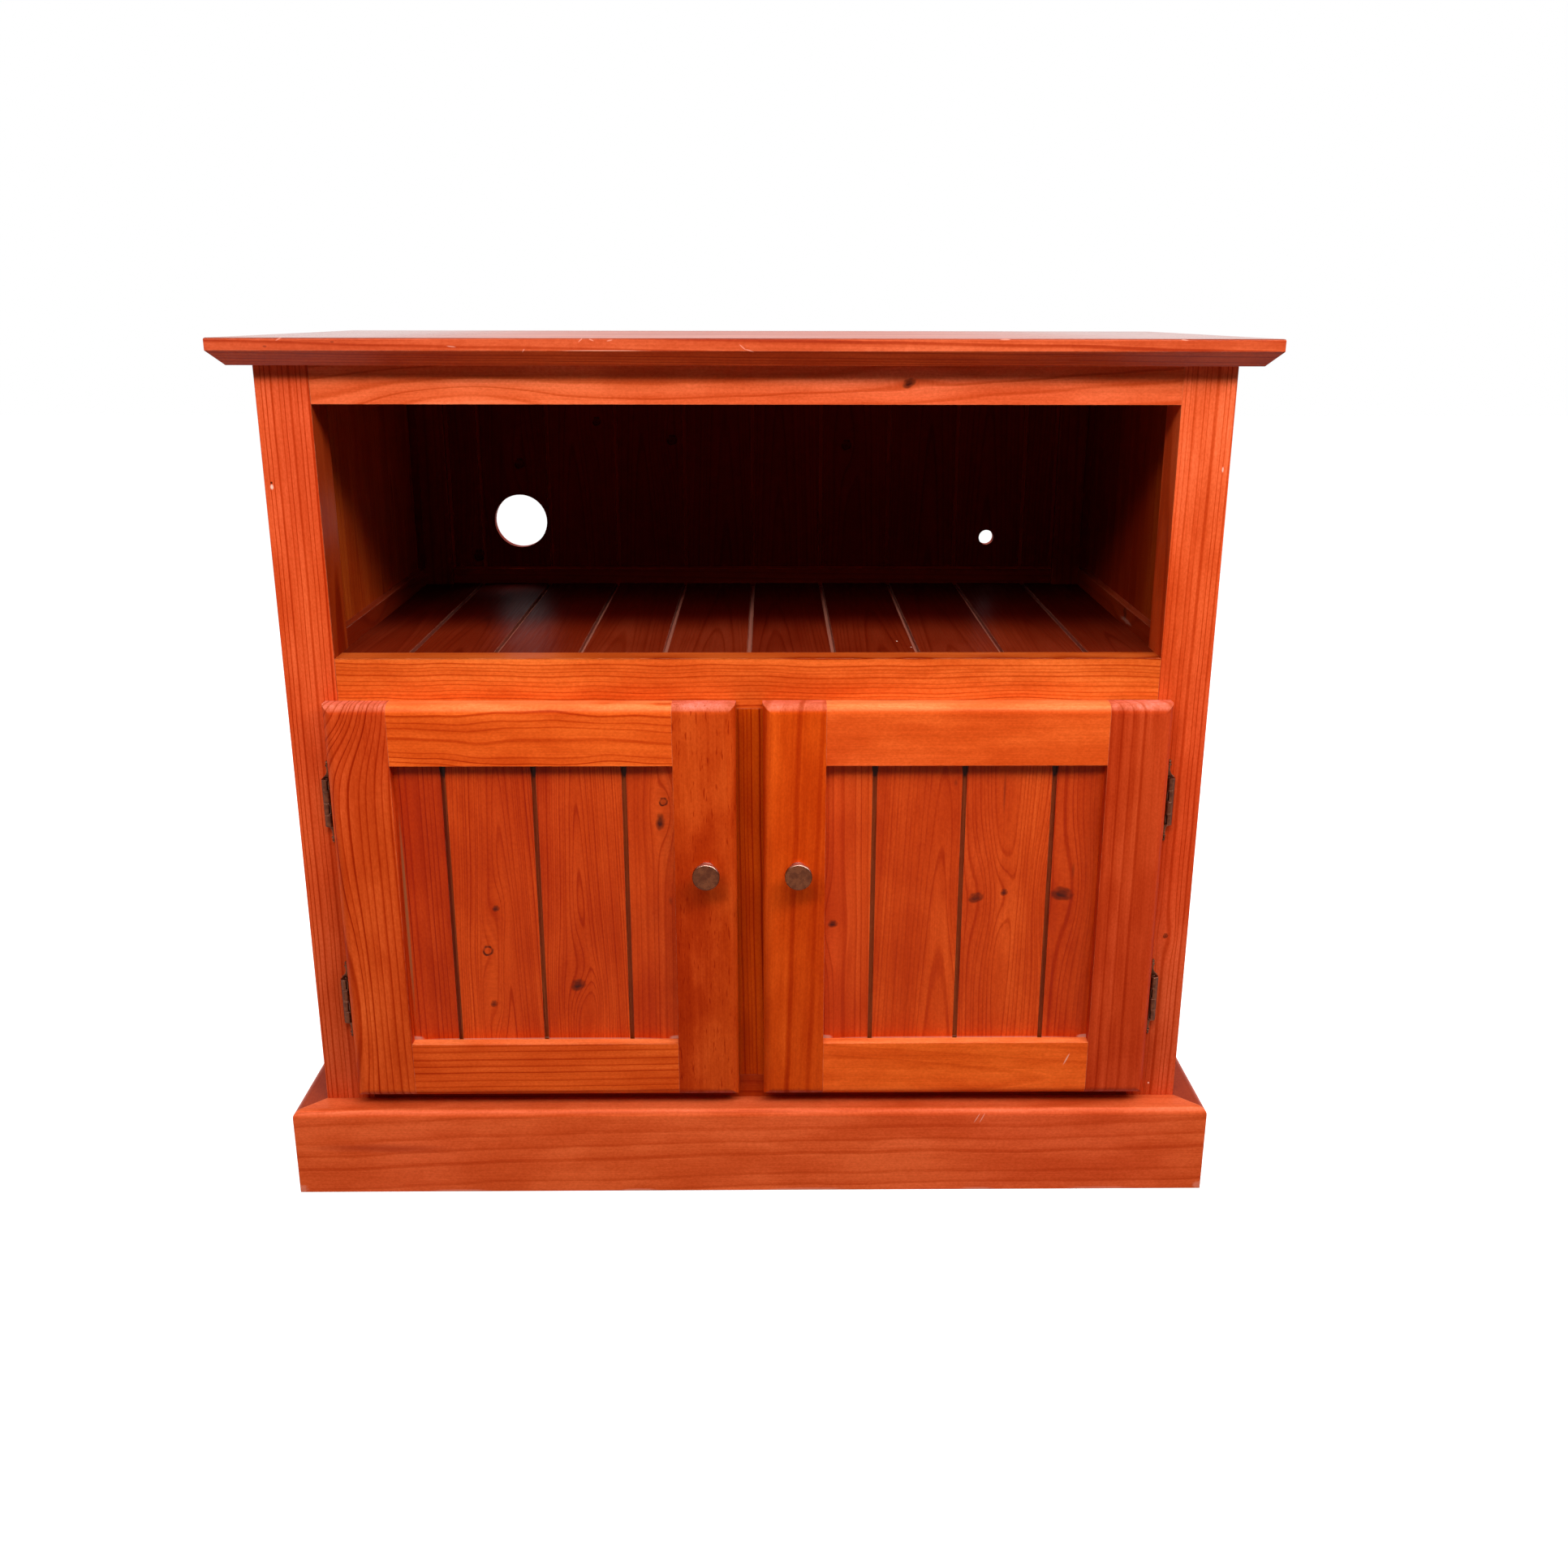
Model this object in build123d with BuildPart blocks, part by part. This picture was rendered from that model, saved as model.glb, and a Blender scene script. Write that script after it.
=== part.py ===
from build123d import *
from math import cos, radians, sin
import os

# A low pine television cabinet: an open bay for players and boxes above a cupboard with
# two overlay frame-and-panel doors, under a bevelled top and on a rounded plinth.
# Millimetres. +X is the viewer's right, +Y the back, +Z up. The origin lies on the floor,
# midway between the foremost point (the knobs) and the rearmost (the top's back edge).

# Carcass
carcass_width = 900.0
carcass_depth = 460.0
post_section = 50.0
rail_thickness = 27.0
top_rail_height = 35.0
mid_rail_height = 50.0
bottom_rail_height = 50.0
mullion_width = 50.0
deck_height = 122.0
cupboard_height = 400.5
bay_height = 238.5
tenon_length = 20.0
tenon_thickness = 9.0
tenon_setback = 9.0
tenon_shoulder = 7.0

# Back frame
back_rail_thickness = 19.0
back_top_rail_height = 45.0
back_mid_rail_height = 68.0
back_upstand = 17.5
back_recess = 10.0
batten_width = 32.0
batten_thickness = 28.0

# Tongue-and-groove boards
board_pitch = 83.0
door_board_pitch = 88.8
board_reveal = 4.5
board_reveal_depth = 4.0
door_reveal_depth = 3.0
tongue_length = 5.0
tongue_thickness = 3.4
door_tongue_thickness = 2.2
tongue_clearance = 0.15
board_gap = 0.3
narrowest_board = 30.0
back_board_thickness = 12.0
side_board_thickness = 14.0
side_board_housing = 8.0
shelf_board_thickness = 15.0
door_board_thickness = 8.0

# Cable holes in the back
large_hole_diameter = 64.0
large_hole_rise = 73.5
large_hole_offset = 5.0
small_hole_diameter = 18.0
small_hole_rise = 53.5
small_hole_offset = -1.5

# Shelf and deck supports
ledger_section = 20.0
side_strip_height = 20.0

# Top
top_thickness = 24.0
top_overhang = 31.0
top_back_overhang = 9.0
top_bevel = 13.0
top_arris = 1.8
fixing_block_width = 40.0
fixing_block_section = 25.0
fixing_block_spacing = 250.0
fixing_screw_radius = 2.0
fixing_screw_bite = 15.0
fixing_head_radius = 4.0
fixing_head_height = 2.5

# Plinth
plinth_height = 96.0
plinth_thickness = 29.0
plinth_round = 8.0
glue_block_section = 30.0
glue_block_clearance = 10.0
glue_block_spacing = 220.0

# Doors
door_thickness = 20.0
door_gap = 2.6
door_overlay = 12.0
door_overlay_top = 9.0
door_overlay_bottom = 13.0
door_stile_width = 62.0
door_rail_width = 61.0
door_round = 9.5
door_rebate = 8.0
door_panel_clearance = 0.3
door_tenon_length = 25.0
door_tenon_thickness = 7.0
door_tenon_setback = 4.0
door_tenon_shoulder = 9.0

# Knobs, each set in from its door's meeting edge by a little different amount
left_knob_inset = 30.0
right_knob_inset = 35.0
knob_rise = 254.0
knob_projection = 24.0
knob_radius = 13.5
knob_rim = 6.0
knob_rim_round = 1.6
knob_neck_radius = 5.5
knob_neck_start = 7.0
knob_neck_end = 13.5
knob_flare_radius = 10.5
knob_base_radius = 8.0
knob_base_thickness = 2.0
knob_screw_radius = 2.0
knob_screw_bite = 10.0
knob_head_radius = 4.5
knob_head_height = 2.0

# Hinges
hinge_inset = 103.5
hinge_leaf = 1.2
hinge_axis_offset = 6.0
hinge_axis_height = 4.7
knuckle_count = 4
knuckle_length = 12.25
knuckle_radius = 4.35
knuckle_gap = 0.3
pin_radius = 1.7
pin_clearance = 0.05
pin_recess = 1.2
leaf_relief = 0.35
door_leaf_width = 26.0
wrap_depth = 22.0
window_width = 1.7
window_margin = 1.3
window_angle = 28.0
tail_offset = 1.7
tail_half_width = 6.0
tail_neck_half_width = 1.1
tail_waist_half_width = 2.3
tail_waist_rise = 3.4
tail_rise = 8.5
tail_neck_rise = 12.0
tail_thickness = 1.6
tail_gap = 0.4
finial_collar_radius = 2.0
finial_collar_height = 1.0
finial_waist_radius = 0.9
finial_waist_rise = 2.0
finial_drop_radius = 1.7
finial_drop_rise = 4.0
finial_tip_rise = 5.4
finial_height = 6.0
finial_stand_off = 0.05
hinge_screw_spacing = 32.0
hinge_screw_radius = 1.45
hinge_screw_bite = 12.0
hinge_head_radius = 3.0
hinge_head_height = 1.8

# Magnetic catches
catch_width = 40.0
catch_depth = 15.0
catch_height = 12.5
catch_setback = 0.5
catch_clearance = 2.0
catch_ear_width = 8.0
catch_ear_thickness = 3.0
catch_wall = 2.5
magnet_width = 24.0
magnet_depth = 11.0
strike_width = 30.0
strike_height = 12.0
strike_thickness = 1.2
strike_clearance = 0.3

# Screw fits
pilot_clearance = 0.05
shank_clearance = 0.2

# Heights
rail_bottom = deck_height - bottom_rail_height
cupboard_top = deck_height + cupboard_height
shelf_height = cupboard_top + mid_rail_height
bay_top = shelf_height + bay_height
carcass_top = bay_top + top_rail_height

# Depths, measured from the front face of the frame
front_reach = door_gap + door_thickness + knob_projection
back_reach = carcass_depth + top_back_overhang
front = (front_reach - back_reach) / 2
back = front + carcass_depth
rear_post_front = back - post_section
back_boards_rear = back - back_recess
back_boards_face = back_boards_rear - back_board_thickness
back_rail_face = back_boards_face - back_rail_thickness
batten_face = back_boards_face - batten_thickness
rail_back = front + rail_thickness

# Half widths
half_width = carcass_width / 2
post_inner = half_width - post_section
side_board_outer = half_width - rail_thickness
side_board_inner = side_board_outer - side_board_thickness
batten_inner = post_inner - batten_width
top_half_width = half_width + top_overhang

# Door limits
door_inner = mullion_width / 2 - door_overlay
door_outer = post_inner + door_overlay
door_bottom = deck_height - door_overlay_bottom
door_top = cupboard_top + door_overlay_top
door_back = front - door_gap
door_face = door_back - door_thickness
panel_face = door_back - door_board_thickness
knob_places = {-1: -door_inner - left_knob_inset, 1: door_inner + right_knob_inset}
knob_z = door_bottom + knob_rise

# Hinge places
hinge_x = door_outer + hinge_axis_offset
hinge_y = front - hinge_axis_height
hinge_heights = (door_bottom + hinge_inset, door_top - hinge_inset)
barrel_half = knuckle_count * knuckle_length / 2
leaf_edge = hinge_x - knuckle_radius - leaf_relief
wrap_screw_y = front + wrap_depth / 2
door_leaf_inner = leaf_edge - door_leaf_width
door_screw_x = door_leaf_inner + 2 * hinge_head_radius

SIDES = (("left", -1), ("right", 1))


def span(side, near, far):
    """Return X limits mirrored to one side, lowest first."""
    return tuple(sorted((side * near, side * far)))


def block(x, y, z, mode=Mode.ADD):
    """Add or cut a box given by its low and high limits on each axis."""
    with Locations(((x[0] + x[1]) / 2, (y[0] + y[1]) / 2, (z[0] + z[1]) / 2)):
        Box(x[1] - x[0], y[1] - y[0], z[1] - z[0], mode=mode)


def rod(start, direction, radius, length, mode=Mode.ADD):
    """Add or cut a round bar that starts at a point and runs along a direction."""
    plane = Plane(origin=start, z_dir=direction)
    with BuildSketch(plane) as section:
        Circle(radius)
    extrude(section.sketch, amount=length, mode=mode)


def write(builder, label):
    """Label one finished sub-part and write its STEP file."""
    builder.part.label = label
    export_step(builder.part, f"parts/{label}.step")


def joint_positions(half_span, pitch, board_centred=False):
    """Return joint positions, symmetric about the middle, with no sliver at the edges."""
    offset = pitch / 2 if board_centred else 0.0
    count = int((half_span - narrowest_board - offset) // pitch)
    first = -offset - count * pitch
    total = 2 * count + (2 if board_centred else 1)
    return [first + index * pitch + board_reveal / 2 for index in range(total)]


def board_outline(low, high, thickness, depth, tongue, grooved, tongued):
    """Return the section of one board, its face on the line y = 0 and its back below."""
    top = depth - tongue_clearance
    bottom = depth + tongue + tongue_clearance
    points = [(low, 0.0)]
    if grooved:
        root = low + tongue_length + board_gap
        points += [(low, -top), (root, -top), (root, -bottom), (low, -bottom)]
    points.append((low, -thickness))
    if tongued:
        tip = high + tongue_length
        points.append((high - board_gap, -thickness))
        points += [(high - board_gap, -depth - tongue), (tip, -depth - tongue)]
        points += [(tip, -depth), (high - board_reveal, -depth), (high - board_reveal, 0.0)]
    else:
        points += [(high, -thickness), (high, 0.0)]
    return points


def lay_boards(plane, limits, joints, thickness, length, wanted=None,
               depth=board_reveal_depth, tongue=tongue_thickness):
    """Lay tongue-and-groove boards side by side, each a solid of its own.

    The plane's x axis runs across the boards, its y axis points out of their faces and
    its z axis runs along them. wanted, if given, holds the indices of the boards to make.
    """
    lows = [limits[0], *joints]
    highs = [*joints, limits[1]]
    for index, (low, high) in enumerate(zip(lows, highs)):
        if wanted is not None and index not in wanted:
            continue
        outline = board_outline(low, high, thickness, depth, tongue,
                                grooved=low != limits[0], tongued=high != limits[1])
        with BuildSketch(plane) as section:
            with BuildLine():
                Polyline(*outline, close=True)
            make_face()
        extrude(section.sketch, amount=length)


def tenon_z(low, high):
    """Return the Z limits of the tenon of a rail with these Z limits."""
    return low + tenon_shoulder, high - tenon_shoulder


def hinge_span(side, near, far, centre):
    """Return Z limits on a hinge, which is turned end for end on the left side."""
    return tuple(sorted((centre + side * near, centre + side * far)))


def knuckle_limits(index):
    """Return a knuckle's limits along the barrel, measured from the hinge's middle."""
    low = index * knuckle_length - barrel_half
    return low + knuckle_gap / 2, low + knuckle_length - knuckle_gap / 2


os.makedirs("parts", exist_ok=True)

front_rails = (
    ("top_front_rail", bay_top, carcass_top),
    ("mid_front_rail", cupboard_top, shelf_height),
    ("bottom_front_rail", rail_bottom, deck_height),
)
side_rails = (
    ("side_top_rail", bay_top, carcass_top),
    ("side_bottom_rail", rail_bottom, deck_height),
)
front_tenon_y = (front + tenon_setback, front + tenon_setback + tenon_thickness)
side_tenon_x = (half_width - tenon_setback - tenon_thickness, half_width - tenon_setback)
hinge_screw_rises = (-hinge_screw_spacing / 2, hinge_screw_spacing / 2)
catch_x = mullion_width / 2 + catch_ear_width + catch_width / 2 + catch_clearance
catch_screw_reach = catch_width / 2 + catch_ear_width / 2
catch_screw_y = front + catch_setback + catch_depth / 2

# Corner posts: front posts with mortises, board housings and hinge screw holes
for side_name, side in SIDES:
    with BuildPart() as front_post:
        block(span(side, post_inner, half_width), (front, front + post_section), (0, carcass_top))
        for _, low, high in front_rails:
            block(span(side, post_inner, post_inner + tenon_length), front_tenon_y,
                  tenon_z(low, high), Mode.SUBTRACT)
        for _, low, high in side_rails:
            block(span(side, *side_tenon_x),
                  (front + post_section - tenon_length, front + post_section),
                  tenon_z(low, high), Mode.SUBTRACT)
        block(span(side, side_board_inner, side_board_outer),
              (front + post_section - side_board_housing, front + post_section),
              (rail_bottom, carcass_top), Mode.SUBTRACT)
        for centre in hinge_heights:
            for rise in hinge_screw_rises:
                rod((side * post_inner, wrap_screw_y, centre + rise), (side, 0, 0),
                    hinge_screw_radius + pilot_clearance, hinge_screw_bite, Mode.SUBTRACT)
    write(front_post, f"front_post_{side_name}")

    with BuildPart() as rear_post:
        block(span(side, post_inner, half_width), (rear_post_front, back), (0, carcass_top))
        for _, low, high in side_rails:
            block(span(side, *side_tenon_x), (rear_post_front, rear_post_front + tenon_length),
                  tenon_z(low, high), Mode.SUBTRACT)
        block(span(side, side_board_inner, side_board_outer),
              (rear_post_front, rear_post_front + side_board_housing),
              (rail_bottom, carcass_top), Mode.SUBTRACT)
    write(rear_post, f"rear_post_{side_name}")

# Front rails, tenoned into the posts; mid and bottom rails take the mullion
mullion_tenon_x = (-mullion_width / 2 + tenon_shoulder, mullion_width / 2 - tenon_shoulder)
mullion_tenon_length = tenon_length / 2
for name, low, high in front_rails:
    with BuildPart() as front_rail:
        block((-post_inner, post_inner), (front, rail_back), (low, high))
        block((-post_inner - tenon_length, post_inner + tenon_length), front_tenon_y,
              tenon_z(low, high))
        if name == "mid_front_rail":
            block(mullion_tenon_x, front_tenon_y, (low, low + mullion_tenon_length), Mode.SUBTRACT)
            for _, side in SIDES:
                for reach in (-catch_screw_reach, catch_screw_reach):
                    rod((side * catch_x + reach, catch_screw_y, low), (0, 0, 1),
                        hinge_screw_radius + pilot_clearance, hinge_screw_bite, Mode.SUBTRACT)
        if name == "bottom_front_rail":
            block(mullion_tenon_x, front_tenon_y, (high - mullion_tenon_length, high),
                  Mode.SUBTRACT)
    write(front_rail, name)

with BuildPart() as centre_mullion:
    block((-mullion_width / 2, mullion_width / 2), (front, rail_back), (deck_height, cupboard_top))
    block(mullion_tenon_x, front_tenon_y,
          (deck_height - mullion_tenon_length, cupboard_top + mullion_tenon_length))
write(centre_mullion, "centre_mullion")

# Side frames: rails flush with the outside, boards nailed behind them
side_middle = (front + post_section + rear_post_front) / 2
side_half_span = (rear_post_front - front - post_section) / 2 + side_board_housing
side_joints = joint_positions(side_half_span, board_pitch, board_centred=True)
for side_name, side in SIDES:
    for name, low, high in side_rails:
        with BuildPart() as side_rail:
            block(span(side, side_board_outer, half_width),
                  (front + post_section, rear_post_front), (low, high))
            block(span(side, *side_tenon_x),
                  (front + post_section - tenon_length, rear_post_front + tenon_length),
                  tenon_z(low, high))
        write(side_rail, f"{name}_{side_name}")

    with BuildPart() as side_boards:
        board_plane = Plane(origin=(side * side_board_outer, side_middle, rail_bottom),
                            x_dir=(0, -side, 0), z_dir=(0, 0, 1))
        lay_boards(board_plane, (-side_half_span, side_half_span), side_joints,
                   side_board_thickness, carcass_top - rail_bottom)
    write(side_boards, f"side_boards_{side_name}")

# Back frame: battens in the corners, three rails between them and boards behind
back_rails = (
    ("back_top_rail", carcass_top - back_top_rail_height, carcass_top),
    ("back_mid_rail", shelf_height + back_upstand - back_mid_rail_height,
     shelf_height + back_upstand),
    ("back_bottom_rail", rail_bottom, deck_height),
)
for name, low, high in back_rails:
    with BuildPart() as back_rail:
        block((-batten_inner, batten_inner), (back_rail_face, back_boards_face), (low, high))
    write(back_rail, name)

with BuildPart() as back_battens:
    for _, side in SIDES:
        block(span(side, batten_inner, post_inner), (batten_face, back_boards_face),
              (rail_bottom, carcass_top))
write(back_battens, "back_battens")

back_joints = joint_positions(post_inner, board_pitch)
back_indices = range(len(back_joints) + 1)
large_hole_index = 1
small_hole_index = len(back_joints) - 1
back_plane = Plane(origin=(0, back_boards_face, carcass_top), x_dir=(1, 0, 0), z_dir=(0, 0, -1))


def lay_back_boards(wanted):
    """Lay the back boards with these indices."""
    lay_boards(back_plane, (-post_inner, post_inner), back_joints, back_board_thickness,
               carcass_top - rail_bottom, wanted)


def face_centre(index):
    """Return the X of the middle of a back board's visible face."""
    return (back_joints[index - 1] + back_joints[index] - board_reveal) / 2


large_hole_x = face_centre(large_hole_index) + large_hole_offset
small_hole_x = face_centre(small_hole_index) + small_hole_offset
with BuildPart() as back_boards:
    lay_back_boards(set(back_indices) - {large_hole_index, small_hole_index})
write(back_boards, "back_boards")

cable_holes = (
    ("back_board_large_hole", large_hole_index, large_hole_x, large_hole_rise, large_hole_diameter),
    ("back_board_small_hole", small_hole_index, small_hole_x, small_hole_rise, small_hole_diameter),
)
for name, index, hole_x, rise, diameter in cable_holes:
    with BuildPart() as holed_board:
        lay_back_boards({index})
        rod((hole_x, back_boards_face, shelf_height + rise), (0, 1, 0), diameter / 2,
            back_board_thickness, Mode.SUBTRACT)
    write(holed_board, name)

# Shelf and deck: boards front to back, notched round the posts and battens
floor_joints = joint_positions(side_board_inner, board_pitch)
for name, height in (("shelf_boards", shelf_height), ("deck_boards", deck_height)):
    with BuildPart() as floor_boards:
        floor_plane = Plane(origin=(0, back_rail_face, height), x_dir=(1, 0, 0), z_dir=(0, -1, 0))
        lay_boards(floor_plane, (-side_board_inner, side_board_inner), floor_joints,
                   shelf_board_thickness, back_rail_face - rail_back)
        floor_z = (height - shelf_board_thickness, height)
        for _, side in SIDES:
            block(span(side, post_inner, half_width), (front, front + post_section), floor_z,
                  Mode.SUBTRACT)
            block(span(side, batten_inner, half_width), (batten_face, back), floor_z,
                  Mode.SUBTRACT)
    write(floor_boards, name)

with BuildPart() as ledgers:
    for height in (shelf_height, deck_height):
        ledger_top = height - shelf_board_thickness
        ledger_z = (ledger_top - ledger_section, ledger_top)
        block((-post_inner, post_inner), (rail_back, rail_back + ledger_section), ledger_z)
        block((-batten_inner, batten_inner), (back_rail_face - ledger_section, back_rail_face),
              ledger_z)
write(ledgers, "floor_ledgers")

with BuildPart() as bay_strips:
    for _, side in SIDES:
        block(span(side, post_inner, side_board_inner), (front + post_section, batten_face),
              (shelf_height, shelf_height + side_strip_height))
write(bay_strips, "bay_side_strips")

# Top: one glued-up panel, bevelled below at the front and sides
top_front = front - top_overhang
top_back = back + top_back_overhang
fixing_rows = (
    (rail_back, rail_back + fixing_block_section),
    (back_rail_face - fixing_block_section, back_rail_face),
)
fixing_columns = (-fixing_block_spacing, 0.0, fixing_block_spacing)
block_bottom = carcass_top - fixing_block_section
with BuildPart() as top_panel:
    block((-top_half_width, top_half_width), (top_front, top_back),
          (carcass_top, carcass_top + top_thickness))
    underside = top_panel.faces().sort_by(Axis.Z)[0]
    chamfer(underside.edges().sort_by(Axis.Y)[:-1], length=top_bevel)
    fillet(top_panel.faces().sort_by(Axis.Z)[-1].edges(), radius=top_arris)
    for row in fixing_rows:
        for column in fixing_columns:
            rod((column, sum(row) / 2, carcass_top), (0, 0, 1),
                fixing_screw_radius + pilot_clearance, fixing_screw_bite, Mode.SUBTRACT)
write(top_panel, "top_panel")

with BuildPart() as fixing_blocks:
    for row in fixing_rows:
        for column in fixing_columns:
            block((column - fixing_block_width / 2, column + fixing_block_width / 2), row,
                  (block_bottom, carcass_top))
            rod((column, sum(row) / 2, block_bottom), (0, 0, 1),
                fixing_screw_radius + shank_clearance, fixing_block_section, Mode.SUBTRACT)
write(fixing_blocks, "top_fixing_blocks")

with BuildPart() as fixing_screws:
    for row in fixing_rows:
        for column in fixing_columns:
            middle = sum(row) / 2
            rod((column, middle, block_bottom), (0, 0, -1), fixing_head_radius,
                fixing_head_height)
            rod((column, middle, block_bottom), (0, 0, 1), fixing_screw_radius,
                fixing_block_section + fixing_screw_bite)
write(fixing_screws, "top_fixing_screws")

# Plinth: boards planted on the frame, mitred at the front corners, rounded above
plinth_half = half_width + plinth_thickness
plinth_front_y = front - plinth_thickness
with BuildPart() as plinth_front:
    with BuildSketch(Plane.XY):
        with BuildLine():
            Polyline((-plinth_half, plinth_front_y), (plinth_half, plinth_front_y),
                     (half_width, front), (-half_width, front), close=True)
        make_face()
    extrude(amount=plinth_height)
    upper = plinth_front.edges().filter_by(Axis.X).group_by(Axis.Z)[-1]
    fillet(upper.sort_by(Axis.Y)[0], radius=plinth_round)
write(plinth_front, "plinth_front")

for side_name, side in SIDES:
    with BuildPart() as plinth_side:
        with BuildSketch(Plane.XY):
            with BuildLine():
                Polyline((side * plinth_half, plinth_front_y), (side * half_width, front),
                         (side * half_width, back), (side * plinth_half, back), close=True)
            make_face()
        extrude(amount=plinth_height)
        upper = plinth_side.edges().filter_by(Axis.Y).group_by(Axis.Z)[-1]
        outer = upper.sort_by(lambda edge: side * edge.center().X)[-1]
        fillet(outer, radius=plinth_round)
    write(plinth_side, f"plinth_{side_name}")

with BuildPart() as glue_blocks:
    glue_z = (glue_block_clearance, rail_bottom)
    for place in (-glue_block_spacing, 0.0, glue_block_spacing):
        block((place - glue_block_section / 2, place + glue_block_section / 2),
              (front, front + glue_block_section), glue_z)
    for _, side in SIDES:
        for place in (-glue_block_spacing / 2, glue_block_spacing / 2):
            block(span(side, half_width - glue_block_section, half_width),
                  (side_middle + place - glue_block_section / 2,
                   side_middle + place + glue_block_section / 2), glue_z)
write(glue_blocks, "plinth_glue_blocks")

# Doors
stile_inner = door_inner + door_stile_width
stile_outer = door_outer - door_stile_width
pocket_x = (stile_inner - door_rebate, stile_outer + door_rebate)
pocket_y = (panel_face, door_back)
pocket_z = (door_bottom + door_rail_width - door_rebate, door_top - door_rail_width + door_rebate)
door_tenon_y = (door_face + door_tenon_setback,
                door_face + door_tenon_setback + door_tenon_thickness)
door_rails = (
    ("bottom_rail", door_bottom, door_bottom + door_rail_width),
    ("top_rail", door_top - door_rail_width, door_top),
)
strike_z = (cupboard_top - strike_height - catch_setback, cupboard_top - catch_setback)


def door_tenon_z(low, high):
    """Return the Z limits of the tenon of a door rail with these Z limits."""
    return low + door_tenon_shoulder, high - door_tenon_shoulder


def round_rim(builder, inner_x):
    """Round a door member's front edges, apart from the one beside the panel."""
    edges = builder.faces().sort_by(Axis.Y)[0].edges()
    outer_edges = edges.sort_by(lambda edge: abs(edge.center().X - inner_x))[1:]
    fillet(outer_edges, radius=door_round)


for side_name, side in SIDES:
    knob_x = knob_places[side]
    with BuildPart() as hinge_stile:
        block(span(side, stile_outer, door_outer), (door_face, door_back), (door_bottom, door_top))
        round_rim(hinge_stile, side * stile_outer)
        for _, low, high in door_rails:
            block(span(side, stile_outer, stile_outer + door_tenon_length), door_tenon_y,
                  door_tenon_z(low, high), Mode.SUBTRACT)
        block(span(side, *pocket_x), pocket_y, pocket_z, Mode.SUBTRACT)
        for centre in hinge_heights:
            for rise in hinge_screw_rises:
                rod((side * door_screw_x, door_back, centre + rise), (0, -1, 0),
                    hinge_screw_radius + pilot_clearance, hinge_screw_bite, Mode.SUBTRACT)
    write(hinge_stile, f"{side_name}_door_hinge_stile")

    with BuildPart() as meeting_stile:
        block(span(side, door_inner, stile_inner), (door_face, door_back), (door_bottom, door_top))
        round_rim(meeting_stile, side * stile_inner)
        for _, low, high in door_rails:
            block(span(side, stile_inner - door_tenon_length, stile_inner), door_tenon_y,
                  door_tenon_z(low, high), Mode.SUBTRACT)
        block(span(side, *pocket_x), pocket_y, pocket_z, Mode.SUBTRACT)
        rod((knob_x, door_back, knob_z), (0, -1, 0), knob_screw_radius + shank_clearance,
            door_thickness, Mode.SUBTRACT)
    write(meeting_stile, f"{side_name}_door_meeting_stile")

    for name, low, high in door_rails:
        with BuildPart() as door_rail:
            block(span(side, stile_inner, stile_outer), (door_face, door_back), (low, high))
            outer_edge = -1 if high == door_top else 0
            front_edges = door_rail.faces().sort_by(Axis.Y)[0].edges().filter_by(Axis.X)
            fillet(front_edges.sort_by(Axis.Z)[outer_edge], radius=door_round)
            block(span(side, *pocket_x), pocket_y, pocket_z, Mode.SUBTRACT)
            block(span(side, stile_inner - door_tenon_length, stile_outer + door_tenon_length),
                  door_tenon_y, door_tenon_z(low, high))
        write(door_rail, f"{side_name}_door_{name}")

    panel_half = (pocket_x[1] - pocket_x[0]) / 2 - door_panel_clearance
    panel_middle = side * sum(pocket_x) / 2
    panel_top = pocket_z[1] - door_panel_clearance
    panel_height = panel_top - pocket_z[0] - door_panel_clearance
    with BuildPart() as panel_boards:
        panel_plane = Plane(origin=(panel_middle, panel_face, panel_top),
                            x_dir=(1, 0, 0), z_dir=(0, 0, -1))
        lay_boards(panel_plane, (-panel_half, panel_half),
                   joint_positions(panel_half, door_board_pitch), door_board_thickness,
                   panel_height, depth=door_reveal_depth, tongue=door_tongue_thickness)
    write(panel_boards, f"{side_name}_door_panel_boards")

    # Knob: a flat disc with a rounded rim on a turned neck, screwed on from behind
    with BuildPart() as knob:
        knob_plane = Plane(origin=(knob_x, door_face, knob_z), x_dir=(1, 0, 0), z_dir=(0, 0, 1))
        disc_back = -knob_projection + knob_rim
        with BuildSketch(knob_plane):
            with BuildLine():
                Polyline((0, -knob_projection), (0, 0), (knob_base_radius, 0),
                         (knob_base_radius, -knob_base_thickness),
                         (knob_neck_radius, -knob_neck_start), (knob_neck_radius, -knob_neck_end),
                         (knob_flare_radius, disc_back),
                         (knob_radius, disc_back - knob_rim_round),
                         (knob_radius, -knob_projection), close=True)
            make_face()
        revolve(axis=Axis((knob_x, door_face, knob_z), (0, 1, 0)))
        fillet(knob.faces().sort_by(Axis.Y)[0].edges(), radius=knob_rim_round)
        rod((knob_x, door_face, knob_z), (0, -1, 0), knob_screw_radius + pilot_clearance,
            knob_screw_bite, Mode.SUBTRACT)
    write(knob, f"{side_name}_knob")

    with BuildPart() as knob_screw:
        rod((knob_x, door_back, knob_z), (0, 1, 0), knob_head_radius, knob_head_height)
        rod((knob_x, door_back, knob_z), (0, -1, 0), knob_screw_radius,
            door_thickness + knob_screw_bite)
    write(knob_screw, f"{side_name}_knob_screw")

    with BuildPart() as strike_plate:
        block(span(side, catch_x - strike_width / 2, catch_x + strike_width / 2),
              (door_back, door_back + strike_thickness), strike_z)
    write(strike_plate, f"{side_name}_strike_plate")

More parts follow.
